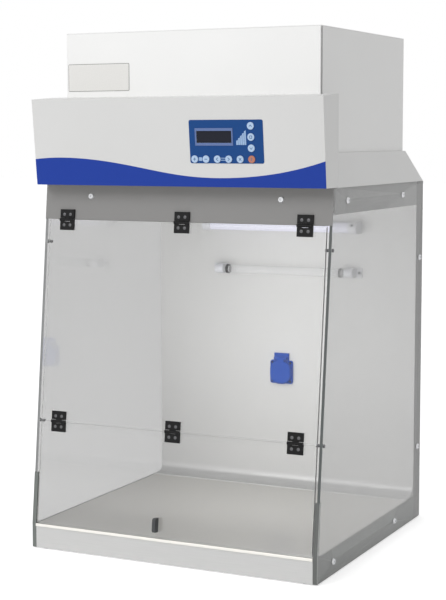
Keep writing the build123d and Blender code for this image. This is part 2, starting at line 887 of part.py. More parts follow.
gasket_bottom = shoulder_top - sheet - gasket_height
filter_bottom = gasket_bottom - filter_height
with BuildPart() as filter_gasket:
    with BuildSketch(Plane.XY.offset(gasket_bottom)):
        with Locations((0, filter_mid_y)):
            Rectangle(filter_width, filter_depth)
            Rectangle(
                filter_width - 2 * gasket_width, filter_depth - 2 * gasket_width, mode=Mode.SUBTRACT
            )
    extrude(amount=gasket_height)
filter_gasket.part.label = "filter_gasket"
export_step(filter_gasket.part, "parts/filter_gasket.step")

with BuildPart() as filter_frame:
    with BuildSketch(Plane.XY.offset(filter_bottom)):
        with Locations((0, filter_mid_y)):
            Rectangle(filter_width, filter_depth)
            Rectangle(
                filter_width - 2 * filter_rim, filter_depth - 2 * filter_rim, mode=Mode.SUBTRACT
            )
    extrude(amount=filter_height)
filter_frame.part.label = "filter_frame"
export_step(filter_frame.part, "parts/filter_frame.step")

pleat_span = filter_width - 2 * filter_rim
pleat_step = pleat_span / (2 * pleat_count)
pleat_low = filter_bottom + (filter_height - pleat_height - pleat_web) / 2
pleat_line = [
    (k * pleat_step - pleat_span / 2, pleat_low + (pleat_height - pleat_web) * (k % 2))
    for k in range(2 * pleat_count + 1)
]
pleat_return = [(x, z + pleat_web) for x, z in reversed(pleat_line)]
with BuildPart() as filter_media:
    # Deep-pleated glass paper, folded back and forth across the frame.
    with BuildSketch(Plane.XZ.offset(-filter_mid_y)):
        with BuildLine():
            Polyline(*pleat_line, *pleat_return, close=True)
        make_face()
    extrude(amount=filter_depth / 2 - filter_rim, both=True)
filter_media.part.label = "filter_media"
export_step(filter_media.part, "parts/filter_media.step")

diffuser_front_y = front_line(side_top, rail_front) + fit_gap
diffuser_pitch_x = (filter_width - 2 * diffuser_side_margin - diffuser_hole) / (
    diffuser_column_count - 1
)
diffuser_pitch_y = (filter_depth - 2 * diffuser_end_margin - diffuser_hole) / (
    diffuser_row_count - 1
)
with BuildPart() as diffuser:
    # Perforated ceiling sheet that rests on the lips of the top rails.
    with BuildSketch(Plane.XY.offset(strip_bottom + sheet)):
        with Locations((0, diffuser_front_y)):
            Rectangle(
                2 * (strip_half - fit_gap),
                wall_y - fit_gap - diffuser_front_y,
                align=(Align.CENTER, Align.MIN),
            )
        with Locations((0, filter_mid_y)):
            with GridLocations(
                diffuser_pitch_x, diffuser_pitch_y, diffuser_column_count, diffuser_row_count
            ):
                Rectangle(diffuser_hole, diffuser_hole, mode=Mode.SUBTRACT)
    extrude(amount=sheet)
diffuser.part.label = "diffuser"
export_step(diffuser.part, "parts/diffuser.step")

with BuildPart() as filter_collar:
    # Sheet collar that closes the space between the ceiling sheet and the filter's frame.
    with BuildSketch(Plane.XY.offset(strip_bottom + 2 * sheet)):
        with Locations((0, filter_mid_y)):
            Rectangle(filter_width, filter_depth)
            Rectangle(filter_width - 2 * sheet, filter_depth - 2 * sheet, mode=Mode.SUBTRACT)
    extrude(amount=filter_bottom - strip_bottom - 2 * sheet)
filter_collar.part.label = "filter_collar"
export_step(filter_collar.part, "parts/filter_collar.step")


# ---------------------------------------------------------------- fascia and control panel

key_spots = [(key_x - key_pitch_x * k, key_level) for k in (5, 4, 3, 2, 1)]
key_spots += [(key_x, key_level + key_pitch_up * k) for k in range(4)]
board_face = -(sheet + board_depth)
display_back = -(display_recess + display_body)

with BuildPart() as fascia:
    # Folded box across the front, wider than the housing, with its face leaning forward.
    with BuildSketch(Plane.YZ) as fascia_outline:
        with BuildLine():
            Polyline(
                (front_y + fascia_lower_front, fascia_bottom),
                (front_y + fascia_upper_front, fascia_top),
                (housing_front_y, fascia_top + fascia_rear_rise),
                (housing_front_y, fascia_bottom),
                close=True,
            )
        make_face()
    extrude(amount=half_width, both=True)
    with BuildSketch(Plane.YZ):
        add(fascia_outline.sketch_local)
        offset(amount=-sheet, kind=Kind.INTERSECTION)
    extrude(amount=half_width - sheet, both=True, mode=Mode.SUBTRACT)
    with BuildSketch(Plane.XZ.offset(-housing_front_y)):
        with Locations((0, fascia_bottom + wiring_window_rise)):
            Rectangle(wiring_window_width, wiring_window_height)
    extrude(amount=2 * sheet, mode=Mode.SUBTRACT)
    with BuildSketch(fascia_plane):
        with Locations((display_x, display_level)):
            Rectangle(display_width, display_height)
        with Locations(*key_spots):
            Circle(key_radius + key_clearance)
    extrude(amount=-2 * sheet, mode=Mode.SUBTRACT)
fascia.part.label = "fascia"
export_step(fascia.part, "parts/fascia.step")

wave_line = [(-half_width, wave_left), *wave_crests, (half_width, wave_right)]
with BuildPart() as fascia_graphic:
    # Coloured film along the fascia's lower edge, cut to a long wave.
    with BuildSketch(fascia_plane):
        with BuildLine():
            Spline(*wave_line)
            Line(wave_line[-1], (half_width, 0))
            Line((half_width, 0), (-half_width, 0))
            Line((-half_width, 0), wave_line[0])
        make_face()
    extrude(amount=graphic_film)
fascia_graphic.part.label = "fascia_graphic"
export_step(fascia_graphic.part, "parts/fascia_graphic.step")

with BuildPart() as keypad_overlay:
    # Printed overlay with openings for the display and the keys.
    with BuildSketch(fascia_plane):
        with Locations((panel_x, panel_level)):
            RectangleRounded(panel_width, panel_height, panel_corner)
        with Locations((display_x, display_level)):
            Rectangle(display_width, display_height, mode=Mode.SUBTRACT)
        with Locations(*key_spots):
            Circle(key_radius + key_clearance, mode=Mode.SUBTRACT)
    extrude(amount=overlay)
keypad_overlay.part.label = "keypad_overlay"
export_step(keypad_overlay.part, "parts/keypad_overlay.step")

with BuildPart() as display_bezel:
    with BuildSketch(fascia_plane.offset(overlay)):
        with Locations((display_x, display_level)):
            Rectangle(bezel_width, bezel_height)
            Rectangle(display_width, display_height, mode=Mode.SUBTRACT)
    extrude(amount=bezel_thickness)
display_bezel.part.label = "display_bezel"
export_step(display_bezel.part, "parts/display_bezel.step")

with BuildPart() as display_module:
    # Display block on its own small board.
    with BuildSketch(fascia_plane.offset(-display_recess)):
        with Locations((display_x, display_level)):
            Rectangle(display_width - 2 * fit_gap, display_height - 2 * fit_gap)
    extrude(amount=-display_body)
    with BuildSketch(fascia_plane.offset(display_back)):
        with Locations((display_x, display_level)):
            Rectangle(display_board_width, display_board_height)
    extrude(amount=-board_thickness)
display_module.part.label = "display_module"
export_step(display_module.part, "parts/display_module.step")

with BuildPart() as control_board:
    # Main board on four standoffs, with a switch behind each key and posts for the display.
    with BuildSketch(fascia_plane.offset(board_face)):
        with Locations((panel_x, panel_level)):
            Rectangle(board_width, board_height)
    extrude(amount=-board_thickness)
    with BuildSketch(fascia_plane.offset(board_face)):
        with Locations(*[(panel_x + x, panel_level + up) for x, up in standoff_points]):
            Circle(standoff_radius)
    extrude(amount=board_depth)
    with BuildSketch(fascia_plane.offset(board_face)):
        with Locations(*key_spots):
            Rectangle(switch_width, switch_width)
    extrude(amount=switch_height)
    with BuildSketch(fascia_plane.offset(board_face)):
        with Locations((display_x, display_level)):
            with GridLocations(2 * display_post_x, 2 * display_post_up, 2, 2):
                Circle(display_post_radius)
    extrude(amount=display_back - board_thickness - board_face)
control_board.part.label = "control_board"
export_step(control_board.part, "parts/control_board.step")


def make_key(spot):
    """Round key: cap through the fascia, flange behind it and a stem to its switch."""
    with BuildPart() as key:
        with BuildSketch(fascia_plane.offset(overlay + key_proud)):
            with Locations(spot):
                Circle(key_radius)
        extrude(amount=-(overlay + key_proud + sheet))
        with BuildSketch(fascia_plane.offset(-sheet)):
            with Locations(spot):
                Circle(key_radius + key_rim)
        extrude(amount=-key_flange)
        with BuildSketch(fascia_plane.offset(-sheet - key_flange)):
            with Locations(spot):
                Circle(key_stem_radius)
        extrude(amount=-(board_depth - key_flange - switch_height - key_travel - touch_gap))
    return key


for number, spot in enumerate(key_spots, start=1):
    key = make_key(spot)
    key.part.label = "key_" + str(number)
    export_step(key.part, "parts/key_" + str(number) + ".step")


# ---------------------------------------------------------------- lamps on the back wall

light_y = wall_y - light_stand
with BuildPart() as light_tube:
    with BuildSketch(Plane.YZ.offset(-light_half)):
        with Locations((light_y, light_level)):
            Circle(light_radius)
    extrude(amount=2 * light_half)
light_tube.part.label = "light_tube"
export_step(light_tube.part, "parts/light_tube.step")

with BuildPart() as light_holders:
    # Two round-nosed end blocks screwed to the wall.
    for side, name in sides:
        with BuildSketch(Plane.YZ.offset(side * light_half)):
            with Locations((light_y, light_level)):
                Circle(holder_nose)
                Rectangle(light_stand, holder_height, align=(Align.MIN, Align.CENTER))
        extrude(amount=side * holder_width)
light_holders.part.label = "light_holders"
export_step(light_holders.part, "parts/light_holders.step")

uv_y = wall_y - uv_stand
with BuildPart() as uv_tube:
    # Slim tube with a metal cap at each end.
    with BuildSketch(Plane.YZ.offset(uv_x - uv_glass_half)):
        with Locations((uv_y, uv_level)):
            Circle(uv_radius)
    extrude(amount=2 * uv_glass_half)
    for side, name in sides:
        with BuildSketch(Plane.YZ.offset(uv_x + side * uv_glass_half)):
            with Locations((uv_y, uv_level)):
                Circle(uv_cap_radius)
        extrude(amount=side * uv_cap)
uv_tube.part.label = "uv_tube"
export_step(uv_tube.part, "parts/uv_tube.step")

with BuildPart() as uv_holders:
    # Two lamp holders, each with a foot drilled for its screw.
    for side, name in sides:
        with BuildSketch(Plane.YZ.offset(uv_x + side * (uv_glass_half + uv_cap))):
            with Locations((uv_y, uv_level)):
                Circle(uv_holder_height / 2)
                Rectangle(uv_stand, uv_holder_height, align=(Align.MIN, Align.CENTER))
        extrude(amount=side * uv_holder_width)
        with BuildSketch(Plane.XZ.offset(-wall_y)):
            with Locations((uv_x + side * (uv_glass_half + uv_cap + uv_foot_width / 2), uv_level)):
                Rectangle(uv_foot_width, uv_holder_height)
            with Locations((uv_x + side * uv_screw_x, uv_level)):
                Circle(screw_shank + screw_clearance, mode=Mode.SUBTRACT)
        extrude(amount=uv_foot)
uv_holders.part.label = "uv_holders"
export_step(uv_holders.part, "parts/uv_holders.step")


# ---------------------------------------------------------------- socket on the back wall

plate_y = wall_y - socket_plate
collar_y = plate_y - collar_length
lid_back_y = plate_y - fit_gap
lid_axis_y = plate_y - lid_hinge_stand
lid_axis_z = socket_level + lid_hinge_rise
well_back_y = collar_y + well_depth
with BuildPart() as socket_body:
    # Plate with hinge ears, a round collar and a deep well that passes through the wall.
    with BuildSketch(Plane.XZ.offset(-wall_y)):
        with Locations((0, socket_level)):
            RectangleRounded(socket_width, socket_height, socket_corner)
        with Locations((0, socket_level + socket_height / 2 - socket_corner)):
            Rectangle(tab_width, tab_height + socket_corner, align=(Align.CENTER, Align.MIN))
    extrude(amount=socket_plate)
    with BuildSketch(Plane.XZ.offset(-plate_y)):
        with Locations((0, socket_level)):
            Circle(collar_radius)
    extrude(amount=collar_length)
    with BuildSketch(Plane.XZ.offset(-wall_y)):
        with Locations((0, socket_level)):
            Circle(well_radius + lid_wall)
    extrude(amount=-(well_back_y + well_floor - wall_y))
    with BuildSketch(Plane.XZ.offset(-collar_y)):
        with Locations((0, socket_level)):
            Circle(well_radius)
    extrude(amount=-well_depth, mode=Mode.SUBTRACT)
    with BuildSketch(Plane.XZ.offset(-well_back_y)):
        with Locations((-contact_spread, socket_level), (contact_spread, socket_level)):
            Circle(contact_radius)
    extrude(amount=-contact_depth, mode=Mode.SUBTRACT)
    for side, name in sides:
        with BuildSketch(Plane.YZ.offset(side * (lid_knuckle_width / 2 + knuckle_gap))):
            with Locations((lid_axis_y, lid_axis_z)):
                Circle(lid_knuckle_radius)
                Rectangle(
                    lid_hinge_stand, 2 * lid_knuckle_radius, align=(Align.MIN, Align.CENTER)
                )
        extrude(amount=side * lid_ear)
    with BuildSketch(Plane.YZ):
        with Locations((lid_axis_y, lid_axis_z)):
            Circle(pin_radius)
    extrude(amount=lid_knuckle_width / 2 + knuckle_gap + lid_ear, both=True)
socket_body.part.label = "socket_body"
export_step(socket_body.part, "parts/socket_body.step")

with BuildPart() as socket_lid:
    # Hollow rounded lid that covers the collar, hung on the socket's pin.
    with BuildSketch(Plane.XZ.offset(-lid_back_y)):
        with Locations((0, socket_level)):
            RectangleRounded(lid_size, lid_size, lid_corner)
    extrude(amount=lid_depth)
    fillet(socket_lid.faces().sort_by(Axis.Y)[0].edges(), radius=lid_edge)
    offset(amount=-lid_wall, openings=socket_lid.faces().sort_by(Axis.Y)[-1])
    with BuildSketch(Plane.YZ.offset(-lid_knuckle_width / 2)):
        with Locations((lid_axis_y, lid_axis_z)):
            Circle(lid_knuckle_radius)
            Rectangle(lid_knuckle_radius, lid_arm, align=(Align.MAX, Align.MAX))
            Circle(pin_radius + running_gap, mode=Mode.SUBTRACT)
    extrude(amount=lid_knuckle_width)
    with BuildSketch(Plane.XY.offset(socket_level - lid_size / 2)):
        with Locations((0, lid_back_y - lid_edge)):
            Rectangle(lid_lip_width, lid_lip)
    extrude(amount=-lid_lip)
socket_lid.part.label = "socket_lid"
export_step(socket_lid.part, "parts/socket_lid.step")


# ---------------------------------------------------------------- mains inlet

with BuildPart() as power_inlet:
    # Flanged inlet body with a keyed cavity and three flat pins.
    with BuildSketch(Plane.XZ.offset(-housing_rear_y)):
        with Locations((inlet_x, inlet_level)):
            RectangleRounded(inlet_width, inlet_height, inlet_flange)
    extrude(amount=-inlet_flange)
    with BuildSketch(Plane.XZ.offset(-housing_rear_y)):
        with Locations((inlet_x, inlet_level)):
            Rectangle(
                inlet_width - 2 * (inlet_lap + fit_gap),
                inlet_height - 2 * (inlet_lap + fit_gap),
            )
    extrude(amount=inlet_body_depth)
    with BuildSketch(Plane.XZ.offset(-(housing_rear_y + inlet_flange))):
        with Locations((inlet_x, inlet_level)):
            Rectangle(inlet_mouth_width, inlet_mouth_height)
            chamfer(vertices().group_by(Axis.Y)[-1], length=inlet_flange)
    extrude(amount=inlet_mouth_depth, mode=Mode.SUBTRACT)
    with BuildSketch(Plane.XZ.offset(-(housing_rear_y + inlet_flange - inlet_mouth_depth))):
        with Locations(
            (inlet_x - blade_pin_pitch, inlet_level - blade_pin_thickness),
            (inlet_x, inlet_level + blade_pin_thickness),
            (inlet_x + blade_pin_pitch, inlet_level - blade_pin_thickness),
        ):
            Rectangle(blade_pin_thickness, blade_pin_width)
    extrude(amount=-blade_pin_length)
power_inlet.part.label = "power_inlet"
export_step(power_inlet.part, "parts/power_inlet.step")


# ---------------------------------------------------------------- screws

screw_planes = [
    (Plane(origin=(side * half_width, y, z), z_dir=(side, 0, 0)), screw_head_radius)
    for side, name in sides
    for y, z in side_screw_points
]
header_y, header_z = front_point(header_screw_level, 0)
screw_planes += [
    (Plane(origin=(side * header_screw_x, header_y, header_z), z_dir=front_plane.z_dir), screw_head_radius)
    for side, name in sides
]
screw_planes += [
    (Plane(origin=(uv_x + side * uv_screw_x, wall_y - uv_foot, uv_level), z_dir=(0, -1, 0)), small_head_radius)
    for side, name in sides
]
with BuildPart() as panel_screws:
    # Button-head screws with a hexagon socket.
    for seat, head_radius in screw_planes:
        with BuildSketch(seat):
            Circle(head_radius)
        extrude(amount=screw_head, taper=screw_head_taper)
        with BuildSketch(seat):
            Circle(screw_shank)
        extrude(amount=-screw_length)
        with BuildSketch(seat.offset(screw_head)):
            RegularPolygon(screw_socket, 6)
        extrude(amount=-screw_socket_depth, mode=Mode.SUBTRACT)
panel_screws.part.label = "panel_screws"
export_step(panel_screws.part, "parts/panel_screws.step")


# ---------------------------------------------------------------- door, flap and their hinges

hinge_spread = door_half - hinge_edge
hinge_centres = (-hinge_spread, 0, hinge_spread)
middle_segments = [(-middle_knuckle / 2, middle_knuckle)]
outer_knuckle = (hinge_width - middle_knuckle) / 2 - knuckle_gap
outer_segments = [
    (-hinge_width / 2, outer_knuckle),
    (middle_knuckle / 2 + knuckle_gap, outer_knuckle),
]


def across(x):
    """Plane square to the hinge pins: local x up the leaning front, y outwards."""
    return Plane(
        origin=(x, front_y, base_height), x_dir=front_plane.y_dir, z_dir=(1, 0, 0)
    )


def screw_spots(line, reach):
    """Hinge screw centres on the leaning front, on one side of a hinge line."""
    return [
        (centre + x, line + reach * hinge_screw_reach)
        for centre in hinge_centres
        for x in (-hinge_screw_x, hinge_screw_x)
    ]


def make_leaves(line, reach, segments):
    """Three leaves on one side of a hinge line, with bored knuckles along the pin."""
    with BuildPart() as leaves:
        for centre in hinge_centres:
            with BuildSketch(across(centre - hinge_width / 2)):
                with Locations((line + reach * (knuckle_clear + hinge_half_height) / 2, 0)):
                    Rectangle(
                        hinge_half_height - knuckle_clear,
                        leaf_thickness,
                        align=(Align.CENTER, Align.MIN),
                    )
            extrude(amount=hinge_width)
            for start, width in segments:
                with BuildSketch(across(centre + start)):
                    with Locations((line, hinge_stand)):
                        Circle(knuckle_radius)
                    with Locations((line + reach * knuckle_clear / 2, 0)):
                        Rectangle(knuckle_clear, leaf_thickness, align=(Align.CENTER, Align.MIN))
                    with Locations((line, hinge_stand)):
                        Circle(pin_radius + running_gap, mode=Mode.SUBTRACT)
                extrude(amount=width)
        with BuildSketch(front_plane):
            with Locations(*screw_spots(line, reach)):
                Circle(hinge_screw_hole)
        extrude(amount=leaf_thickness, mode=Mode.SUBTRACT)
    return leaves


def make_pins(line):
    """Three pins, each as long as its hinge."""
    with BuildPart() as pins:
        for centre in hinge_centres:
            with BuildSketch(across(centre - hinge_width / 2)):
                with Locations((line, hinge_stand)):
                    Circle(pin_radius)
            extrude(amount=hinge_width)
    return pins


hinge_sets = (
    ("upper_hinge_leaves", make_leaves(upper_hinge_line, 1, middle_segments)),
    ("upper_hinge_door_leaves", make_leaves(upper_hinge_line, -1, outer_segments)),
    ("upper_hinge_pins", make_pins(upper_hinge_line)),
    ("lower_hinge_door_leaves", make_leaves(lower_hinge_line, 1, middle_segments)),
    ("lower_hinge_flap_leaves", make_leaves(lower_hinge_line, -1, outer_segments)),
    ("lower_hinge_pins", make_pins(lower_hinge_line)),
)
for name, hinge_set in hinge_sets:
    hinge_set.part.label = name
    export_step(hinge_set.part, "parts/" + name + ".step")

upper_door_bottom = lower_hinge_line + door_hinge_gap
with BuildPart() as upper_door:
    # Clear upper leaf, hung from the header.
    with BuildSketch(front_plane):
        with Locations((0, upper_door_bottom)):
            Rectangle(
                2 * door_half,
                upper_hinge_line - door_hinge_gap - upper_door_bottom,
                align=(Align.CENTER, Align.MIN),
            )
        with Locations(*screw_spots(upper_hinge_line, -1), *screw_spots(lower_hinge_line, 1)):
            Circle(hinge_screw_hole, mode=Mode.SUBTRACT)
    extrude(amount=-clear_sheet)
upper_door.part.label = "upper_door"
export_step(upper_door.part, "parts/upper_door.step")

with BuildPart() as lower_flap:
    # Clear lower leaf, hung from the upper one and standing just off the floor.
    with BuildSketch(front_plane):
        with Locations((0, flap_floor_gap)):
            Rectangle(
                2 * door_half,
                lower_hinge_line - door_hinge_gap - flap_floor_gap,
                align=(Align.CENTER, Align.MIN),
            )
        with Locations(*screw_spots(lower_hinge_line, -1)):
            Circle(hinge_screw_hole, mode=Mode.SUBTRACT)
    extrude(amount=-clear_sheet)
lower_flap.part.label = "lower_flap"
export_step(lower_flap.part, "parts/lower_flap.step")

with BuildPart() as flap_pull:
    # Upright fin for the fingers, with rounded outer corners.
    with BuildSketch(across(pull_x - pull_width / 2)):
        with Locations((pull_bottom, 0)):
            Rectangle(pull_height, pull_depth, align=(Align.MIN, Align.MIN))
        fillet(vertices().group_by(Axis.Y)[-1], radius=pull_corner)
    extrude(amount=pull_width)
flap_pull.part.label = "flap_pull"
export_step(flap_pull.part, "parts/flap_pull.step")

with BuildPart() as door_rest_pegs:
    # Studs through the clear sides that the closed door rests against.
    for side, name in sides:
        with BuildSketch(Plane.YZ.offset(side * (inner_half - peg_reach))):
            with Locations(*peg_points):
                Circle(peg_radius)
        extrude(amount=side * peg_reach)
        with BuildSketch(Plane.YZ.offset(side * inner_half)):
            with Locations(*peg_points):
                Circle(peg_shank)
        extrude(amount=side * clear_sheet)
        with BuildSketch(Plane.YZ.offset(side * half_width)):
            with Locations(*peg_points):
                Circle(peg_head_radius)
        extrude(amount=side * peg_head)
door_rest_pegs.part.label = "door_rest_pegs"
export_step(door_rest_pegs.part, "parts/door_rest_pegs.step")
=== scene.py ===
"""Finishes and small pieces of a bench-top laminar flow hood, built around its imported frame."""

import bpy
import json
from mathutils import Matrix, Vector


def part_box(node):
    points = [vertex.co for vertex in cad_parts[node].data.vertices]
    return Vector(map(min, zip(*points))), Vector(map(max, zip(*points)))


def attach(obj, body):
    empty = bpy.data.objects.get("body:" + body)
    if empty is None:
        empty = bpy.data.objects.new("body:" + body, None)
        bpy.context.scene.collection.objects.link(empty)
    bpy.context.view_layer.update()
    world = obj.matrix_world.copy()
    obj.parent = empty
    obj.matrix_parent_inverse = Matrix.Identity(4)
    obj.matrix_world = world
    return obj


bl_info = {
    "name": "Laminar Flow Hood",
    "version": (1, 0, 0),
    "blender": (4, 5, 0),
    "location": "View3D > Sidebar > Flow Hood",
    "description": "Finishes, printed marks and small fittings for a bench-top laminar flow hood",
    "category": "Object",
}

import json
import math

import bmesh
import bpy
from bpy.props import FloatProperty, FloatVectorProperty, PointerProperty
from mathutils import Matrix, Vector

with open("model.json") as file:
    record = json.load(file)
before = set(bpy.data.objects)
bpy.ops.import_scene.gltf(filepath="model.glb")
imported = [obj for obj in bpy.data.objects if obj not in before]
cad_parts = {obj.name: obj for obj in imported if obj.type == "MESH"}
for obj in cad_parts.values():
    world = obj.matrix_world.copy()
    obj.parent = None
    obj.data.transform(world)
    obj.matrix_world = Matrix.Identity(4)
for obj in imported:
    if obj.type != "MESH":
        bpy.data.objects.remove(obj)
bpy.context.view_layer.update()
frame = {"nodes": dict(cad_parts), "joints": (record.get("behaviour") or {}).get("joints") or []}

MM = 0.001
ACROSS = Vector((1.0, 0.0, 0.0))
DEPTH = Vector((0.0, 1.0, 0.0))
RISE = Vector((0.0, 0.0, 1.0))
ALONG_X, ALONG_Y, ALONG_Z = range(3)

# Radius of the edges of coated and brushed sheet.
EDGE_RADIUS = 0.8 * MM

# How far a cross recess is turned, in radians, and the turn from one screw to the next.
SCREW_TURN = 0.4
SCREW_TURN_STEP = 0.3

# The stage: places and sizes in metres, angles in degrees.
FLOOR_SIZE = 40.0
KEY_LAMP_SIZE = (2.2, 1.6)
KEY_LAMP_PLACE = Vector((-0.9, -2.5, 2.4))
KEY_LAMP_TO = Vector((0.0, 0.0, 0.5)) - KEY_LAMP_PLACE
CABIN_LAMP_SIZE = (0.44, 0.5)
CABIN_LAMP_PLACE = Vector((0.0, -0.14, 0.43))
CABIN_LAMP_TO = Vector((0.0, 1.0, -0.03))
CAMERA_PLACE = Vector((1.17998, -2.47712, 0.7193))
CAMERA_ANGLES = (26.269, 5.863, -0.101)
CAMERA_SHIFT = (0.0203, -0.0098)


# ---------------------------------------------------------------- places read from the frame


def joint_named(name):
    """One joint of the frame."""
    return next(joint for joint in frame["joints"] if joint["name"] == name)


def reach_along(node, direction):
    """Least and greatest distance of a node's points along a direction."""
    spans = [vertex.co.dot(direction) for vertex in frame["nodes"][node].data.vertices]
    return min(spans), max(spans)


UPPER_HINGE = Vector(joint_named("upper_door_hinge")["pos_m"])
LOWER_HINGE = Vector(joint_named("lower_flap_hinge")["pos_m"])
DOOR_UP = (UPPER_HINGE - LOWER_HINGE).normalized()
DOOR_OUT = ACROSS.cross(DOOR_UP)
DOOR_FACE = reach_along("upper_door", DOOR_OUT)[1]

FASCIA_OUT = -Vector(joint_named("button_1_press")["axis"]).normalized()
FASCIA_UP = FASCIA_OUT.cross(ACROSS)
FASCIA_FACE = reach_along("fascia_graphic", FASCIA_OUT)[0]
FASCIA_FOOT = reach_along("fascia_graphic", FASCIA_UP)[0]


def on_door(x, up, out=0.0):
    """Point on the leaning front: across, up the lean from the bench's origin, and off its face."""
    return ACROSS * x + DOOR_UP * up + DOOR_OUT * (DOOR_FACE + out)


def on_fascia(x, up, out=0.0):
    """Point on the fascia's face: across, up from its lower edge, and off its face."""
    return ACROSS * x + FASCIA_UP * (FASCIA_FOOT + up) + FASCIA_OUT * (FASCIA_FACE + out)


# Straight strokes of each key's plain mark, from the key's middle, in millimetres.
KEY_MARKS = {
    1: ((-2.5, 0.0, 2.5, 0.0), (0.0, -2.5, 0.0, 2.5)),
    2: ((-2.5, 0.0, 2.5, 0.0),),
    3: ((1.5, -2.5, -1.8, 0.0), (-1.8, 0.0, 1.5, 2.5)),
    4: ((-1.5, -2.5, 1.8, 0.0), (1.8, 0.0, -1.5, 2.5)),
    5: ((-2.2, -2.2, 2.2, 2.2), (-2.2, 2.2, 2.2, -2.2)),
    6: ((0.0, -2.8, 0.0, 2.8),),
    7: ((-2.5, 1.2, 0.0, -1.8), (0.0, -1.8, 2.5, 1.2)),
    8: (
        (-2.0, -2.0, 2.0, -2.0),
        (2.0, -2.0, 2.0, 2.0),
        (2.0, 2.0, -2.0, 2.0),
        (-2.0, 2.0, -2.0, -2.0),
    ),
    9: ((-2.5, -1.2, 0.0, 1.8), (0.0, 1.8, 2.5, -1.2)),
}


# ---------------------------------------------------------------- settings


def linear(hex_colour):
    """Linear RGB of an sRGB hex colour."""
    values = [int(hex_colour[i : i + 2], 16) / 255 for i in (0, 2, 4)]
    return tuple(
        v / 12.92 if v <= 0.04045 else ((v + 0.055) / 1.055) ** 2.4 for v in values
    )


def colour(name, description, hex_colour):
    """A colour property with its sRGB default."""
    return FloatVectorProperty(
        name=name,
        description=description,
        subtype="COLOR",
        size=3,
        min=0.0,
        max=1.0,
        default=linear(hex_colour),
    )


def length(name, description, millimetres):
    """A length property with its default in millimetres."""
    return FloatProperty(
        name=name, description=description, unit="LENGTH", default=millimetres * MM, min=0.0
    )


class HoodColours(bpy.types.PropertyGroup):
    """Colours of the hood's finishes."""

    # The housing, its front, the cowl and the fascia share one white coat in life; their four
    # shades are painted light and shade, the front lightest and the fascia darkest.
    housing: colour("Housing", "Powder coat of the blower housing", "F1F1F0")
    front: colour("Housing front", "Powder coat of the housing's front panel", "FAFAF9")
    cowl: colour("Cowl", "Powder coat of the cowl under the housing", "E4E4E3")
    fascia: colour("Fascia", "Powder coat of the fascia", "E1E1E0")
    header: colour("Header", "Coat of the panel above the door", "8C8B8A")
    wall: colour("Back wall", "Steel of the back wall", "DADAD9")
    floor: colour("Work surface", "Steel of the work surface", "C2C0BB")
    tray: colour("Tray", "Coat of the base tray", "D6D6D5")
    strip: colour("Strips", "Steel of the rails above the clear sides", "F2F3F2")
    edge: colour("Skirts", "Steel of the strip under the right side", "C4C8C5")
    # The left skirt is the same steel as the right one; its much darker colour is painted shade.
    left_skirt_painted_shade: colour("Left skirt", "Steel of the strip under the left side", "767B78")
    clear_door: colour("Clear door", "Tint of the clear door", "F5F5F5")
    # The clear sides are one acrylic in life: their grey tints, the left darker than the right, are
    # partly the sheet's own and partly painted shade.
    clear_left: colour("Clear left side", "Tint of the left clear side", "BEBEBE")
    clear_right: colour("Clear right side", "Tint of the right clear side", "CBCBCB")
    # The right side's sawn edges are the same acrylic as the left's; their dark grey is painted
    # shade.
    right_edges_painted_shade: colour("Right edge", "Sawn edges of the right side", "6C7070")
    edge_pale: colour("Pale edges", "Sawn edges of the left side", "D2D4D4")
    edge_door: colour("Door edges", "Sawn edges of the door", "E6E8E8")
    nylon: colour("Hinges", "Filled nylon of the hinges", "101011")
    zinc: colour("Screws", "Plating of the screws", "CBCCCE")
    dark_zinc: colour("Hinge screws", "Plating of the hinge screws", "69696B")
    blackened: colour("Dark screws", "Blackened screws of the lamps and the socket", "1E2026")
    pull: colour("Pull", "Moulded pull of the flap", "4C4D4F")
    rubber: colour("Rubber", "Gaskets and feet", "2A2A2B")
    band: colour("Band", "Printed band on the fascia", "1D40A3")
    panel: colour("Panel", "Printed keypad overlay", "144889")
    bezel: colour("Bezel", "Frame round the display", "6077AC")
    display: colour("Display", "Unlit display glass", "1A1D2A")
    key: colour("Keys", "Moulded keys", "B9D2F0")
    alarm_key: colour("Red key", "The key with the red cap", "C07A62")
    mark: colour("Marks", "Printed marks on the panel", "A5C2E6")
    key_mark: colour("Key marks", "Printed marks on the keys", "5F7FA8")
    lid: colour("Socket", "Moulded socket and lid", "0049AE")
    lamp: colour("Lamp", "Opal lamp tube", "E4E4F2")
    plate: colour("Plate", "Bare rating plate", "EDECE9")
    plate_edge: colour("Plate edge", "Printed line round the rating plate", "8F8E8C")
    board: colour("Board", "Lacquer of the control board", "1F5A33")
    holder: colour("Holders", "Moulded holders of the lamps", "DADBE0")
    quartz: colour("Quartz", "Tint of the lower lamp's glass", "F6F7F8")
    galvanised: colour("Galvanised sheet", "Zinc of the blower's sheet parts", "9FA3A6")
    aluminium: colour("Aluminium", "Impeller and filter frame", "C9CACC")
    motor: colour("Motor", "Paint of the motor", "1E1E20")
    paper: colour("Filter paper", "Pleated paper of the filter", "ECEBE4")
    foam: colour("Foam", "Foam of the prefilter", "56575A")


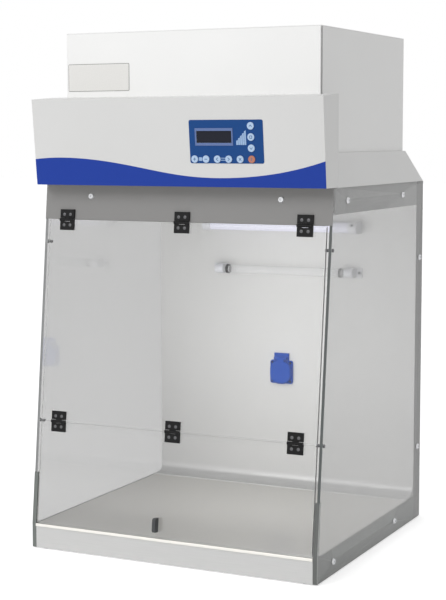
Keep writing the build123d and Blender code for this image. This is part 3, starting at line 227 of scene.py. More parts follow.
class HoodSizes(bpy.types.PropertyGroup):
    """Sizes of the pieces that the frame leaves to this script."""

    hinge_screw_radius: length("Hinge screw", "Radius of a hinge screw's head", 2.7)
    hinge_screw_height: length("Hinge screw height", "Height of a hinge screw's head", 0.6)
    hinge_screw_x: length("Hinge screw spacing", "Screw to the hinge's middle", 6.0)
    hinge_screw_up: length("Hinge screw rise", "Screw to the hinge's pin", 9.2)
    hinge_spread: length("Hinge spread", "Outer hinges to the door's middle", 224.0)
    leaf_thickness: length("Leaf", "Thickness of a hinge leaf", 3.0)
    plate_left: length("Plate place", "Rating plate's left edge from the middle", 235.0)
    plate_width: length("Plate width", "Width of the rating plate", 121.0)
    plate_bottom: length("Plate foot", "Rating plate's lower edge above the bench", 798.0)
    plate_height: length("Plate height", "Height of the rating plate", 47.0)
    plate_line: length("Plate line", "Width of the line round the rating plate", 0.9)
    plate_corner: length("Plate corner", "Radius of the rating plate's corners", 2.0)
    plate_thickness: length("Plate thickness", "Thickness of the rating plate", 0.4)
    bars_left: length("Level bars", "First bar's left edge from the middle", 115.9)
    bars_foot: length("Level bars' foot", "Foot of the bars above the fascia's edge", 69.2)
    bar_pitch: length("Bar pitch", "From one level bar to the next", 3.65)
    bar_width: length("Bar width", "Width of a level bar", 3.1)
    bar_height: length("Bar height", "Height of the first level bar", 6.5)
    bar_rise: length("Bar rise", "Height from one level bar to the next", 3.9)
    bar_slant: length("Bar slant", "Rise across the top of a level bar", 1.5)
    film: length("Film", "Thickness of printed marks", 0.15)
    mark_stroke: length("Stroke", "Width of a printed stroke", 1.1)
    link_height: length("Link height", "Height of the marks between the keys", 4.4)
    square_reach: length("Square", "Half the width of the square between two keys", 2.9)
    link_reach: length("Link reach", "Half the length of the link between two keys", 4.4)
    socket_screw_x: length("Socket screw", "Socket screw to the socket's middle", 19.0)
    socket_screw_up: length("Socket screw rise", "Socket screw above the socket's middle", 18.3)
    socket_screw_radius: length("Socket screw size", "Radius of a socket screw's head", 2.3)
    socket_screw_height: length("Socket screw height", "Height of a socket screw's head", 0.8)
    socket_level: length("Socket level", "Middle of the socket above the bench", 265.0)
    socket_face: length("Socket face", "Socket's plate behind the bench's origin", 224.19)
    lamp_screw_radius: length("Lamp screw", "Radius of a lamp holder's screw head", 2.6)
    lamp_screw_height: length("Lamp screw height", "Height of a lamp holder's screw head", 1.2)
    uv_screw_inset: length("Lower lamp screw", "Screw to the end of the lower lamp's foot", 4.0)
    uv_screw_face: length("Lower lamp screw face", "Screw's seat behind the bench's origin", 222.6)
    light_screw_inset: length("Upper lamp screw", "Screw to the end of its holder", 8.5)
    light_screw_rise: length("Upper lamp screw rise", "Screw above the upper lamp's middle", 5.0)
    light_screw_face: length("Upper screw face", "Its seat behind the bench's origin", 197.2)
    sleeve_inset: length("Sleeve", "Dark sleeve's outer edge to the lamp's end", 6.2)
    sleeve_width: length("Sleeve width", "Width of a dark sleeve on the lamp", 5.3)
    sleeve_inner: length("Sleeve bore", "Inner radius of a dark sleeve", 8.1)
    sleeve_outer: length("Sleeve outside", "Outer radius of a dark sleeve", 8.9)


class HoodStage(bpy.types.PropertyGroup):
    """Camera, lamps and floor."""

    lens: FloatProperty(
        name="Lens", description="Focal length", unit="CAMERA", default=91.88, min=1.0
    )
    lift: FloatProperty(name="Sky", description="Light from all round", default=0.55, min=0.0)
    key_power: FloatProperty(
        name="Key", description="Power of the front lamp", unit="POWER", default=37.5, min=0.0
    )
    floor_lift: FloatProperty(
        name="Floor lift", description="White added to the floor as seen", default=0.55, min=0.0
    )
    floor_through: FloatProperty(
        name="Floor through glass",
        description="Share of that white seen through the clear sheets",
        subtype="FACTOR",
        default=0.1,
        min=0.0,
        max=1.0,
    )
    cabin_power: FloatProperty(
        name="Cabin", description="Power of the cabin's lamp", unit="POWER", default=1.35, min=0.0
    )


# ---------------------------------------------------------------- material tools


def add_node(material, kind, settings=None, inputs=None):
    """Adds a shader node, sets its properties and fills or links its inputs."""
    tree = material.node_tree
    node = tree.nodes.new(kind)
    for name, value in (settings or {}).items():
        setattr(node, name, value)
    for name, value in (inputs or {}).items():
        if isinstance(value, bpy.types.NodeSocket):
            tree.links.new(value, node.inputs[name])
        else:
            node.inputs[name].default_value = value
    return node


def blank_material(name):
    """An empty node material."""
    material = bpy.data.materials.new(name)
    material.use_nodes = True
    material.node_tree.nodes.clear()
    return material


def close_material(material, shader):
    """Puts a shader on the material's output."""
    add_node(material, "ShaderNodeOutputMaterial", inputs={"Surface": shader})
    return material


def object_points(material, stretch=(1.0, 1.0, 1.0)):
    """Object coordinates in metres, stretched along each axis."""
    place = add_node(material, "ShaderNodeTexCoord")
    mapped = add_node(
        material,
        "ShaderNodeMapping",
        inputs={"Vector": place.outputs["Object"], "Scale": stretch},
    )
    return mapped.outputs["Vector"]


def fine_pattern(material, pitch, stretch=(1.0, 1.0, 1.0), detail=2.0):
    """Uneven pattern over an object, a pitch in metres from crest to crest."""
    points = object_points(material, stretch)
    crests = add_node(
        material,
        "ShaderNodeTexNoise",
        inputs={"Vector": points, "Scale": 1 / pitch, "Detail": detail, "Roughness": 0.5},
    )
    return crests.outputs["Fac"]


def tone(material, pattern, base, spread):
    """Base colour that drifts a little darker and lighter with a pattern."""
    ramp = add_node(material, "ShaderNodeValToRGB", inputs={"Fac": pattern})
    dark, light = ramp.color_ramp.elements
    dark.position, light.position = 0.3, 0.7
    dark.color = (*[c * (1 - spread) for c in base], 1.0)
    light.color = (*[min(1.0, c * (1 + spread)) for c in base], 1.0)
    return ramp.outputs["Color"]


def relief(material, height, depth, edge=0.0):
    """Normal from a height, whose full range is a depth, over edges rounded by a radius."""
    inputs = {"Height": height, "Strength": 1.0, "Distance": depth}
    if edge > 0.0:
        rounded = add_node(material, "ShaderNodeBevel", {"samples": 4}, {"Radius": edge})
        inputs["Normal"] = rounded.outputs["Normal"]
    bump = add_node(material, "ShaderNodeBump", inputs=inputs)
    return bump.outputs["Normal"]


def facing(material, direction):
    """How far the object's own surface faces a direction, from -1 to 1."""
    place = add_node(material, "ShaderNodeTexCoord")
    along = add_node(
        material,
        "ShaderNodeVectorMath",
        {"operation": "DOT_PRODUCT"},
        {0: place.outputs["Normal"], 1: direction},
    )
    return along.outputs["Value"]


def any_ray(material, *tests):
    """One for a ray that passes any of the named tests of its path, or else nought."""
    rays = add_node(material, "ShaderNodeLightPath")
    passed = rays.outputs[tests[0]]
    for test in tests[1:]:
        passed = add_node(
            material,
            "ShaderNodeMath",
            {"operation": "MAXIMUM"},
            {0: passed, 1: rays.outputs[test]},
        ).outputs[0]
    return passed


def surface(material, base, pattern, roughness, sockets):
    """Closes a material with a colour and a roughness between two values by a pattern."""
    low, high = roughness
    spread = add_node(
        material,
        "ShaderNodeMapRange",
        inputs={"Value": pattern, "To Min": low, "To Max": high},
    )
    shader = add_node(
        material,
        "ShaderNodeBsdfPrincipled",
        inputs={"Base Color": base, "Roughness": spread.outputs["Result"], **sockets},
    )
    return close_material(material, shader.outputs["BSDF"])


# ---------------------------------------------------------------- finishes


def powder_coated_steel(name, base):
    """Sprayed and baked polyester powder on sheet steel."""
    # A soft sheen over a fine orange peel, about 1.5 mm from crest to crest.
    material = blank_material(name)
    peel = fine_pattern(material, 1.5 * MM)
    drift = fine_pattern(material, 180 * MM)
    return surface(
        material,
        tone(material, drift, base, 0.012),
        peel,
        (0.38, 0.47),
        {"Normal": relief(material, peel, 0.012 * MM, EDGE_RADIUS), "IOR": 1.5},
    )


def brushed_stainless(name, base, grain, roughness, metallic, painted_bend_light=1.0, face=DEPTH):
    """Cold-rolled stainless sheet, brushed along one of its axes."""
    # Fine scratches run along the grain, so light smears across it; their pitch is drawn at
    # 0.8 mm, coarser than the real grit, to show at this size. Bends and cut edges, turned away
    # from the sheet's main face, can be darkened as painted shade or lightened as a painted
    # highlight.
    material = blank_material(name)
    stretch = tuple(0.02 if axis == grain else 1.0 for axis in range(3))
    scratches = fine_pattern(material, 0.8 * MM, stretch, 3.0)
    clouds = fine_pattern(material, 140 * MM)
    sheet = tone(material, scratches, base, 0.025)
    if painted_bend_light != 1.0:
        sheet = paint_light_on_bends(material, sheet, painted_bend_light, face)
    return surface(
        material,
        sheet,
        clouds,
        (roughness - 0.04, roughness + 0.06),
        {"Metallic": metallic, "Normal": relief(material, scratches, 0.006 * MM, EDGE_RADIUS)},
    )


def paint_light_on_bends(material, sheet, painted_bend_light, face):
    """Scales a sheet's colour where its own surface turns away from its main face: painted shade
    below one, a painted highlight above.
    """
    # Unchanged up to about 8 degrees off the face, and full from about 39.
    squared = add_node(
        material, "ShaderNodeMath", {"operation": "POWER"}, {0: facing(material, face), 1: 2.0}
    )
    turned = add_node(
        material, "ShaderNodeMath", {"operation": "SUBTRACT"}, {0: 1.0, 1: squared.outputs[0]}
    )
    value = add_node(
        material,
        "ShaderNodeMapRange",
        inputs={
            "Value": turned.outputs[0],
            "From Min": 0.02,
            "From Max": 0.4,
            "To Min": 1.0,
            "To Max": painted_bend_light,
        },
    )
    shaded = add_node(
        material,
        "ShaderNodeVectorMath",
        {"operation": "SCALE"},
        {0: sheet, "Scale": value.outputs["Result"]},
    )
    return shaded.outputs["Vector"]


def cast_acrylic(name, tint, edge_tint, face, edge_clear=0.25):
    """Cast acrylic sheet with polished faces and sawn edges."""
    # Clear with a faint grey body and mirror-like faces, and grey frosted edges; lamps shine
    # through it, so what is behind stays lit.
    material = blank_material(name)
    # Nought on the faces and one on the edges, which stand square to them.
    flatness = add_node(
        material, "ShaderNodeMath", {"operation": "ABSOLUTE"}, {0: facing(material, face)}
    )
    edge = add_node(
        material,
        "ShaderNodeMapRange",
        inputs={
            "Value": flatness.outputs[0],
            "From Min": 0.4,
            "From Max": 0.6,
            "To Min": 1.0,
            "To Max": 0.0,
        },
    ).outputs["Result"]
    tooth = fine_pattern(material, 0.6 * MM)
    body_colour = add_node(
        material,
        "ShaderNodeMix",
        {"data_type": "RGBA"},
        {"Factor": edge, "A": (*tint, 1.0), "B": tone(material, tooth, edge_tint, 0.1)},
    )
    polished_to_sawn = {
        socket: add_node(
            material,
            "ShaderNodeMapRange",
            inputs={"Value": edge, "To Min": polished, "To Max": sawn},
        ).outputs["Result"]
        for socket, polished, sawn in (
            ("Roughness", 0.02, 0.4),
            ("Transmission Weight", 1.0, edge_clear),
        )
    }
    body = add_node(
        material,
        "ShaderNodeBsdfPrincipled",
        inputs={
            "Base Color": body_colour.outputs["Result"],
            "IOR": 1.49,
            "Specular IOR Level": 0.25,
            **polished_to_sawn,
        },
    )
    # Light is tinted once at each face, so each face takes the root of the sheet's tint.
    one_face = tuple(math.sqrt(c) for c in tint)
    passing = add_node(material, "ShaderNodeBsdfTransparent", inputs={"Color": (*one_face, 1.0)})
    lit_through = any_ray(material, "Is Shadow Ray", "Is Diffuse Ray")
    mix = add_node(
        material,
        "ShaderNodeMixShader",
        inputs={0: lit_through, 1: body.outputs[0], 2: passing.outputs[0]},
    )
    return close_material(material, mix.outputs[0])


def moulded_plastic(name, base, roughness, sheen=0.5):
    """Injection-moulded plastic with a spark-eroded skin."""
    # A faint even grain, with the gloss broken up a little.
    material = blank_material(name)
    skin = fine_pattern(material, 0.7 * MM)
    return surface(
        material,
        tone(material, skin, base, 0.03),
        skin,
        (roughness - 0.05, roughness + 0.08),
        {
            "Normal": relief(material, skin, 0.01 * MM, 0.4 * MM),
            "IOR": 1.52,
            "Specular IOR Level": sheen,
        },
    )


def printed_film(name, base, roughness=0.3):
    """Screen-printed polyester film under a satin lacquer."""
    # Even ink with a soft gloss and hardly any grain.
    material = blank_material(name)
    ink = fine_pattern(material, 2.2 * MM)
    return surface(
        material,
        tone(material, ink, base, 0.02),
        ink,
        (roughness - 0.03, roughness + 0.05),
        {"IOR": 1.5, "Specular IOR Level": 0.2},
    )


def plated_steel(name, base, roughness):
    """Zinc-plated steel, as turned or headed."""
    # Bright metal with fine turning marks that blur its highlights.
    material = blank_material(name)
    marks = fine_pattern(material, 0.5 * MM, (1.0, 1.0, 3.0), 3.0)
    return surface(
        material,
        tone(material, marks, base, 0.03),
        marks,
        (roughness - 0.05, roughness + 0.1),
        {"Metallic": 1.0},
    )


def moulded_rubber(name, base):
    """Cured black rubber."""
    # Dull and slightly dusty, with a fine open grain.
    material = blank_material(name)
    pores = fine_pattern(material, 0.9 * MM, detail=4.0)
    return surface(
        material,
        tone(material, pores, base, 0.12),
        pores,
        (0.65, 0.85),
        {"Normal": relief(material, pores, 0.03 * MM)},
    )


def opal_tube(name, base, glow):
    """Extruded opal polycarbonate lamp tube, lit by what glow says."""
    # Milky, with a soft even face and a slight sheen along its length.
    material = blank_material(name)
    clouds = fine_pattern(material, 25 * MM)
    shader = add_node(
        material,
        "ShaderNodeBsdfPrincipled",
        inputs={
            "Base Color": tone(material, clouds, base, 0.01),
            "Roughness": 0.25,
            "IOR": 1.58,
            "Subsurface Weight": 0.2,
            "Subsurface Radius": (4 * MM, 4 * MM, 4 * MM),
            "Emission Color": (*base, 1.0),
            "Emission Strength": glow,
        },
    )
    return close_material(material, shader.outputs["BSDF"])


def quartz_glass(name, tint, cover):
    """Drawn quartz glass tube, bare inside."""
    # Thin-walled and almost clear, a little paler than what is behind it, with faint draw
    # lines along it; cover is the share of light that its walls scatter.
    material = blank_material(name)
    lines = fine_pattern(material, 1.5 * MM, (0.02, 1.0, 1.0))
    return surface(
        material,
        tone(material, lines, tint, 0.02),
        lines,
        (0.05, 0.15),
        {"IOR": 1.46, "Alpha": cover},
    )


def pleated_paper(name, base):
    """Glass-fibre filter paper, laid wet and pleated."""
    # Matt and fibrous, with fibres drawn 1 mm apart.
    material = blank_material(name)
    fibres = fine_pattern(material, 1.0 * MM, (1.0, 0.15, 1.0), 4.0)
    return surface(
        material,
        tone(material, fibres, base, 0.04),
        fibres,
        (0.8, 0.95),
        {"Normal": relief(material, fibres, 0.05 * MM)},
    )


def open_cell_foam(name, base):
    """Reticulated polyurethane foam, cut from the block."""
    # Dark open cells about 2 mm across between lighter strands.
    material = blank_material(name)
    cells = add_node(
        material,
        "ShaderNodeTexVoronoi",
        {"feature": "DISTANCE_TO_EDGE"},
        {"Vector": object_points(material), "Scale": 1 / (2.0 * MM)},
    ).outputs["Distance"]
    return surface(
        material,
        tone(material, cells, base, 0.5),
        cells,
        (0.8, 0.95),
        {"Normal": relief(material, cells, 0.6 * MM)},
    )


# ---------------------------------------------------------------- piece tools


def paint(material, *nodes):
    """Gives CAD nodes a finish."""
    for node in nodes:
        slots = frame["nodes"][node].data.materials
        if not slots:
            slots.append(material)
        for index in range(len(slots)):
            slots[index] = material


def new_piece(name, mesh_maker, material, body):
    """Makes a piece with bmesh code, gives it its finish and rides it on a body."""
    mesh = bpy.data.meshes.new(name)
    shape = bmesh.new()
    mesh_maker(shape)
    bmesh.ops.recalc_face_normals(shape, faces=shape.faces)
    shape.to_mesh(mesh)
    shape.free()
    mesh.materials.append(material)
    piece = bpy.data.objects.new(name, mesh)
    bpy.context.scene.collection.objects.link(piece)
    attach(piece, body)
    return piece


def bridge(shape, ring, other):
    """Faces between two closed rings of as many points."""
    for index in range(len(ring)):
        after = (index + 1) % len(ring)
        shape.faces.new((ring[index], ring[after], other[after], other[index]))


def add_slab(shape, outline, lift):
    """A closed slab: an outline of points and the same outline moved by a vector."""
    low = [shape.verts.new(point) for point in outline]
    high = [shape.verts.new(point + lift) for point in outline]
    shape.faces.new(list(reversed(low)))
    shape.faces.new(high)
    bridge(shape, low, high)


def rounded_outline(width, height, radius, steps=4):
    """Corner points of a rounded rectangle round its middle."""
    points = []
    for corner, (sx, sy) in enumerate(((1, 1), (-1, 1), (-1, -1), (1, -1))):
        centre = (sx * (width / 2 - radius), sy * (height / 2 - radius))
        for step in range(steps + 1):
            turn = math.pi / 2 * (corner + step / steps)
            points.append(
                (centre[0] + radius * math.cos(turn), centre[1] + radius * math.sin(turn))
            )
    return points


def circle(centre, axis, radius, sectors):
    """Points round an axis, each with its turn in radians."""
    side = axis.orthogonal().normalized()
    other = axis.cross(side)
    turns = [2 * math.pi * sector / sectors for sector in range(sectors)]
    return [
        (centre + side * (radius * math.cos(turn)) + other * (radius * math.sin(turn)), turn)
        for turn in turns
    ]


def add_screw_head(shape, seat, out, radius, height, recess_turn):
    """A pan head with a cross recess, standing on a seat point along a direction."""
    rings, sectors = 9, 40
    arm, reach, deep = radius * 0.17, radius * 0.62, height * 0.75
    dome_fall = 0.92

    def height_at(r, turn):
        dome = height * math.sqrt(max(0.0, 1 - (r / radius) ** 2 * dome_fall))
        x, y = r * math.cos(turn - recess_turn), r * math.sin(turn - recess_turn)
        inside = r < reach and min(abs(x), abs(y)) < arm
        return dome - (deep if inside else 0.0)

    middle = shape.verts.new(seat + out * (height - deep))
    rows = []
    for ring in range(1, rings + 1):
        r = radius * ring / rings
        points = circle(seat, out, r, sectors)
        rows.append([shape.verts.new(point + out * height_at(r, turn)) for point, turn in points])
    rows.append([shape.verts.new(point) for point, _ in circle(seat, out, radius, sectors)])
    for inner, outer in zip(rows, rows[1:]):
        bridge(shape, inner, outer)
    for sector in range(sectors):
        shape.faces.new((middle, rows[0][sector], rows[0][(sector + 1) % sectors]))
    shape.faces.new(rows[-1])


def add_ring(shape, centre, axis, inner, outer, width, sectors=48):
    """A flat-ended ring or sleeve along an axis, starting at a centre."""
    loops = []
    for radius, along in ((inner, 0.0), (outer, 0.0), (outer, width), (inner, width)):
        points = circle(centre + axis * along, axis, radius, sectors)
        loops.append([shape.verts.new(point) for point, _ in points])
    for index in range(4):
        bridge(shape, loops[index], loops[(index + 1) % 4])


# ---------------------------------------------------------------- operators


class HOOD_OT_housing(bpy.types.Operator):
    """Coat the blower housing, finish its gasket and the feet, and add its bare rating plate"""

    bl_idname = "hood.housing"
    bl_label = "Blower Housing"

    def execute(self, context):
        colours, sizes = context.scene.hood_colours, context.scene.hood_sizes
        # One white coat in life, drawn in shades: the wrap and top a little darker than the front
        # panel, and the cowl darker still, as painted shade; the front panel lighter, as painted
        # light.
        coat = powder_coated_steel("powder_coated_steel_white_painted_shade", colours.housing)
        paint(coat, "housing_wrap", "top_cover")
        front = powder_coated_steel("powder_coated_steel_front_painted_light", colours.front)
        paint(front, "housing_front_panel")
        paint(powder_coated_steel("powder_coated_steel_cowl_painted_shade", colours.cowl), "shoulder_cowl")
        paint(moulded_rubber("moulded_rubber_black", colours.rubber), "panel_gasket", "feet")
        middle = Vector(
            (
                sizes.plate_width / 2 - sizes.plate_left,
                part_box("housing_front_panel")[0].y,
                sizes.plate_bottom + sizes.plate_height / 2,
            )
        )

        line = printed_film("printed_polyester_grey_line", colours.plate_edge, 0.35)
        bare = printed_film("printed_polyester_bare_plate", colours.plate, 0.35)
        thick = sizes.plate_thickness
        for name, finish, inset, seat, depth in (
            ("rating_plate_line", line, 0.0, 0.0, thick),
            ("rating_plate_bare", bare, sizes.plate_line, thick, sizes.film),
        ):

            def plate(shape, inset=inset, seat=seat, depth=depth):
                width, height = sizes.plate_width - 2 * inset, sizes.plate_height - 2 * inset
                outline = rounded_outline(width, height, sizes.plate_corner - inset)
                points = [middle + Vector((x, -seat, z)) for x, z in outline]
                add_slab(shape, points, -DEPTH * depth)

            new_piece(name, plate, finish, "cabinet")
        return {"FINISHED"}


class HOOD_OT_fascia(bpy.types.Operator):
    """Coat the fascia and its printed band"""

    bl_idname = "hood.fascia"
    bl_label = "Fascia"

    def execute(self, context):
        colours = context.scene.hood_colours
        # The fascia's coat is the housing's white in life, drawn darker as painted shade because it
        # leans forward under the housing.
        paint(powder_coated_steel("powder_coated_steel_fascia_painted_shade", colours.fascia), "fascia")
        paint(printed_film("printed_film_band_blue", colours.band), "fascia_graphic")
        return {"FINISHED"}


class HOOD_OT_control_panel(bpy.types.Operator):
    """Finish the keypad, its display and its keys, and print its marks"""

    bl_idname = "hood.control_panel"
    bl_label = "Control Panel"

    def execute(self, context):
        colours, sizes = context.scene.hood_colours, context.scene.hood_sizes
        paint(printed_film("printed_polyester_overlay_blue", colours.panel), "keypad_overlay")
        paint(moulded_plastic("moulded_abs_bezel", colours.bezel, 0.35), "display_bezel")
        paint(printed_film("display_glass_unlit", colours.display, 0.08), "display_module")
        paint(moulded_plastic("lacquered_board_green", colours.board, 0.3), "control_board")
        key_finish = moulded_plastic("moulded_silicone_key", colours.key, 0.4)
        for number in range(1, 10):
            paint(key_finish, f"key_{number}")
        paint(moulded_plastic("moulded_silicone_key_red", colours.alarm_key, 0.4), "key_6")
        ink = printed_film("printed_marks_pale_blue", colours.mark, 0.35)
        overlay_face = reach_along("keypad_overlay", FASCIA_OUT)[1] - FASCIA_FACE

        def print_slab(shape, corners):
            points = [on_fascia(x, up, overlay_face) for x, up in corners]
            add_slab(shape, points, FASCIA_OUT * sizes.film)

        def bars(shape):
            for step in range(5):
                left = sizes.bars_left + step * sizes.bar_pitch
                right = left + sizes.bar_width
                foot = sizes.bars_foot
                top = foot + sizes.bar_height + step * sizes.bar_rise
                slanted = top + sizes.bar_slant
                print_slab(shape, ((left, foot), (right, foot), (right, slanted), (left, top)))

        new_piece("level_bars", bars, ink, "cabinet")

        def between_keys(shape):
            first, second, third, fourth = (self.key_place(number)[0] for number in range(1, 5))
            up = self.key_place(1)[1]
            square, link = sizes.square_reach, sizes.link_reach
            half, stroke = sizes.link_height / 2, sizes.mark_stroke
            for x, reach, low, high in (
                ((first + second) / 2, square, -square, square),
                ((third + fourth) / 2, link, half - stroke, half),
                ((third + fourth) / 2, link, -half, stroke - half),
            ):
                left, right, low, high = x - reach, x + reach, up + low, up + high
                print_slab(shape, ((left, low), (right, low), (right, high), (left, high)))

        new_piece("key_links", between_keys, ink, "cabinet")
        key_ink = printed_film("printed_marks_grey_blue", colours.key_mark, 0.35)
        for number, strokes in KEY_MARKS.items():
            self.mark_key(number, strokes, key_ink, sizes)
        return {"FINISHED"}

    def key_place(self, number):
        """A key's middle on the fascia and its face off it."""
        low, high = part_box(f"key_{number}")
        face = reach_along(f"key_{number}", FASCIA_OUT)[1] - FASCIA_FACE
        middle = (low + high) / 2
        return middle.x, middle.dot(FASCIA_UP) - FASCIA_FOOT, face

    def mark_key(self, number, strokes, finish, sizes):
        """Print a plain mark of straight strokes on a key."""
        x, up, face = self.key_place(number)
        half = sizes.mark_stroke / 2

        def mark(shape):
            for x0, up0, x1, up1 in strokes:
                run = Vector((x1 - x0, up1 - up0)).normalized() * half
                ends = (
                    (x0 * MM - run.y, up0 * MM + run.x),
                    (x0 * MM + run.y, up0 * MM - run.x),
                    (x1 * MM + run.y, up1 * MM - run.x),
                    (x1 * MM - run.y, up1 * MM + run.x),
                )
                points = [on_fascia(x + dx, up + rise, face) for dx, rise in ends]
                add_slab(shape, points, FASCIA_OUT * sizes.film)

        new_piece(f"key_mark_{number}", mark, finish, f"button_{number}")


class HOOD_OT_cabin(bpy.types.Operator):
    """Finish the cabin's steel"""

    bl_idname = "hood.cabin"
    bl_label = "Cabin Steel"

    def execute(self, context):
        colours = context.scene.hood_colours
        # The back wall's cove and the strips at its sides, turned away from its face, are darkened
        # as painted shade.
        wall = brushed_stainless(
            "brushed_stainless_wall_painted_shade",
            colours.wall,
            ALONG_Z,
            roughness=0.42,
            metallic=0.2,
            painted_bend_light=0.64,
        )
        paint(wall, "back_panel")
        # Faces of the work surface turned away from its top, its front nose among them, are
        # lightened as a painted highlight.
        floor = brushed_stainless(
            "brushed_stainless_floor_painted_highlight",
            colours.floor,
            ALONG_X,
            roughness=0.3,
            metallic=0.5,
            painted_bend_light=1.7,
            face=RISE,
        )
        paint(floor, "work_surface")
        tray = brushed_stainless(
            "brushed_stainless_tray", colours.tray, ALONG_X, roughness=0.4, metallic=0.2
        )
        paint(tray, "base_tray")
        strips = brushed_stainless(
            "brushed_stainless_strip", colours.strip, ALONG_Y, roughness=0.38, metallic=0.2
        )
        paint(strips, "top_rail_left", "top_rail_right", "diffuser")
        # Faces of the right skirt turned away from its side, its front return among them, are
        # darkened as painted shade.
        right = brushed_stainless(
            "brushed_stainless_ear",
            colours.edge,
            ALONG_Y,
            roughness=0.35,
            metallic=0.2,
            painted_bend_light=0.25,
            face=ACROSS,
        )
        paint(right, "skirt_right")
        # The same steel as the right skirt, drawn much darker as painted shade.
        left = brushed_stainless(
            "brushed_stainless_ear_left_painted_shade",
            colours.left_skirt_painted_shade,
            ALONG_Y,
            roughness=0.35,
            metallic=0.2,
        )
        paint(left, "skirt_left")
        paint(powder_coated_steel("powder_coated_steel_header", colours.header), "header_panel")
        return {"FINISHED"}


class HOOD_OT_clear_sheets(bpy.types.Operator):
    """Finish the clear sides and the clear door"""

    bl_idname = "hood.clear_sheets"
    bl_label = "Clear Sheets"

    def execute(self, context):
        colours = context.scene.hood_colours
        # The left side's grey tint is darker than the right's; the tints are partly the sheet's own
        # and partly painted shade.
        left = cast_acrylic(
            "cast_acrylic_left_painted_shade", colours.clear_left, colours.edge_pale, ACROSS, edge_clear=0.6
        )
        paint(left, "side_panel_left")
        # The right side's sawn edges are dark grey and less clear than the left's, as painted
        # shade.
        right = cast_acrylic(
            "cast_acrylic_right_painted_shade", colours.clear_right, colours.right_edges_painted_shade, ACROSS
        )
        paint(right, "side_panel_right")
        door = cast_acrylic(
            "cast_acrylic_door", colours.clear_door, colours.edge_door, DOOR_OUT, edge_clear=0.85
        )
        paint(door, "upper_door", "lower_flap")
        return {"FINISHED"}


class HOOD_OT_hinges(bpy.types.Operator):
    """Finish the door's hinges, pins, pull and pegs, and drive in the hinge screws"""

    bl_idname = "hood.hinges"
    bl_label = "Hinges"

    def execute(self, context):
        colours, sizes = context.scene.hood_colours, context.scene.hood_sizes
        nylon = moulded_plastic("moulded_nylon_black", colours.nylon, 0.5, sheen=0.2)
        paint(
            nylon,
            "upper_hinge_leaves",
            "upper_hinge_door_leaves",
            "lower_hinge_door_leaves",
            "lower_hinge_flap_leaves",
        )
        paint(moulded_plastic("moulded_nylon_pull", colours.pull, 0.5, sheen=0.3), "flap_pull")
        paint(plated_steel("zinc_plated_steel_screw", colours.zinc, 0.35), "panel_screws")
        dark_zinc = plated_steel("zinc_plated_steel_hinge_screw", colours.dark_zinc, 0.4)
        paint(dark_zinc, "upper_hinge_pins", "lower_hinge_pins", "door_rest_pegs")
        rows = (
            ("hinge_screws_header", UPPER_HINGE, 1, "cabinet"),
            ("hinge_screws_door_top", UPPER_HINGE, -1, "door_upper"),
            ("hinge_screws_door_foot", LOWER_HINGE, 1, "door_upper"),
            ("hinge_screws_flap", LOWER_HINGE, -1, "door_lower"),
        )
        for name, pin, side, body in rows:
            up = pin.dot(DOOR_UP) + side * sizes.hinge_screw_up

            def screws(shape, up=up):
                for column in (-1, 0, 1):
                    for hand in (-1, 1):
                        x = column * sizes.hinge_spread + hand * sizes.hinge_screw_x
                        add_screw_head(
                            shape,
                            on_door(x, up, sizes.leaf_thickness),
                            DOOR_OUT,
                            sizes.hinge_screw_radius,
                            sizes.hinge_screw_height,
                            SCREW_TURN + column + hand * SCREW_TURN_STEP,
                        )

            new_piece(name, screws, dark_zinc, body)
        return {"FINISHED"}


class HOOD_OT_fittings(bpy.types.Operator):
    """Finish the lamps, the socket and the mains inlet, and add their sleeves and screws"""

    bl_idname = "hood.fittings"
    bl_label = "Lamps and Socket"

    def execute(self, context):
        colours, sizes = context.scene.hood_colours, context.scene.hood_sizes
        paint(opal_tube("opal_polycarbonate_tube", colours.lamp, glow=0.12), "light_tube")
        holder = moulded_plastic("moulded_polycarbonate_holder", colours.holder, 0.35)
        paint(holder, "light_holders", "uv_holders")
        paint(quartz_glass("drawn_quartz_tube", colours.quartz, cover=0.2), "uv_tube")
        blue = moulded_plastic("moulded_abs_socket_blue", colours.lid, 0.35, sheen=0.05)
        paint(blue, "socket_lid", "socket_body")
        black = moulded_plastic("moulded_nylon_inlet", colours.nylon, 0.4)
        paint(black, "power_inlet")
        dark_steel = plated_steel("blackened_steel_screw", colours.blackened, 0.4)

        def sleeves(shape):
            low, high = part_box("uv_tube")
            for side, end in ((-1, low.x), (1, high.x)):
                start = (low + high) / 2
                start.x = end - side * (sizes.sleeve_inset + sizes.sleeve_width)
                add_ring(
                    shape,
                    start,
                    ACROSS * side,
                    sizes.sleeve_inner,
                    sizes.sleeve_outer,
                    sizes.sleeve_width,
                )

        new_piece("uv_tube_sleeves", sleeves, black, "cabinet")

        def holder_screws(shape):
            lower = ("uv_holders", sizes.uv_screw_inset, 0.0, sizes.uv_screw_face)
            upper = (
                "light_holders",
                sizes.light_screw_inset,
                sizes.light_screw_rise,
                sizes.light_screw_face,
            )
            for node, inset, rise, face in (lower, upper):
                near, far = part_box(node)
                level = (near.z + far.z) / 2 + rise
                for x in (near.x + inset, far.x - inset):
                    add_screw_head(
                        shape,
                        Vector((x, face, level)),
                        -DEPTH,
                        sizes.lamp_screw_radius,
                        sizes.lamp_screw_height,
                        SCREW_TURN,
                    )

        new_piece("lamp_holder_screws", holder_screws, dark_steel, "cabinet")

        def socket_screws(shape):
            for side in (-1, 1):
                for rise in (-1, 1):
                    x = side * sizes.socket_screw_x
                    level = sizes.socket_level + rise * sizes.socket_screw_up
                    add_screw_head(
                        shape,
                        Vector((x, sizes.socket_face, level)),
                        -DEPTH,
                        sizes.socket_screw_radius,
                        sizes.socket_screw_height,
                        side + rise * SCREW_TURN_STEP,
                    )

        new_piece("socket_screws", socket_screws, dark_steel, "cabinet")
        return {"FINISHED"}


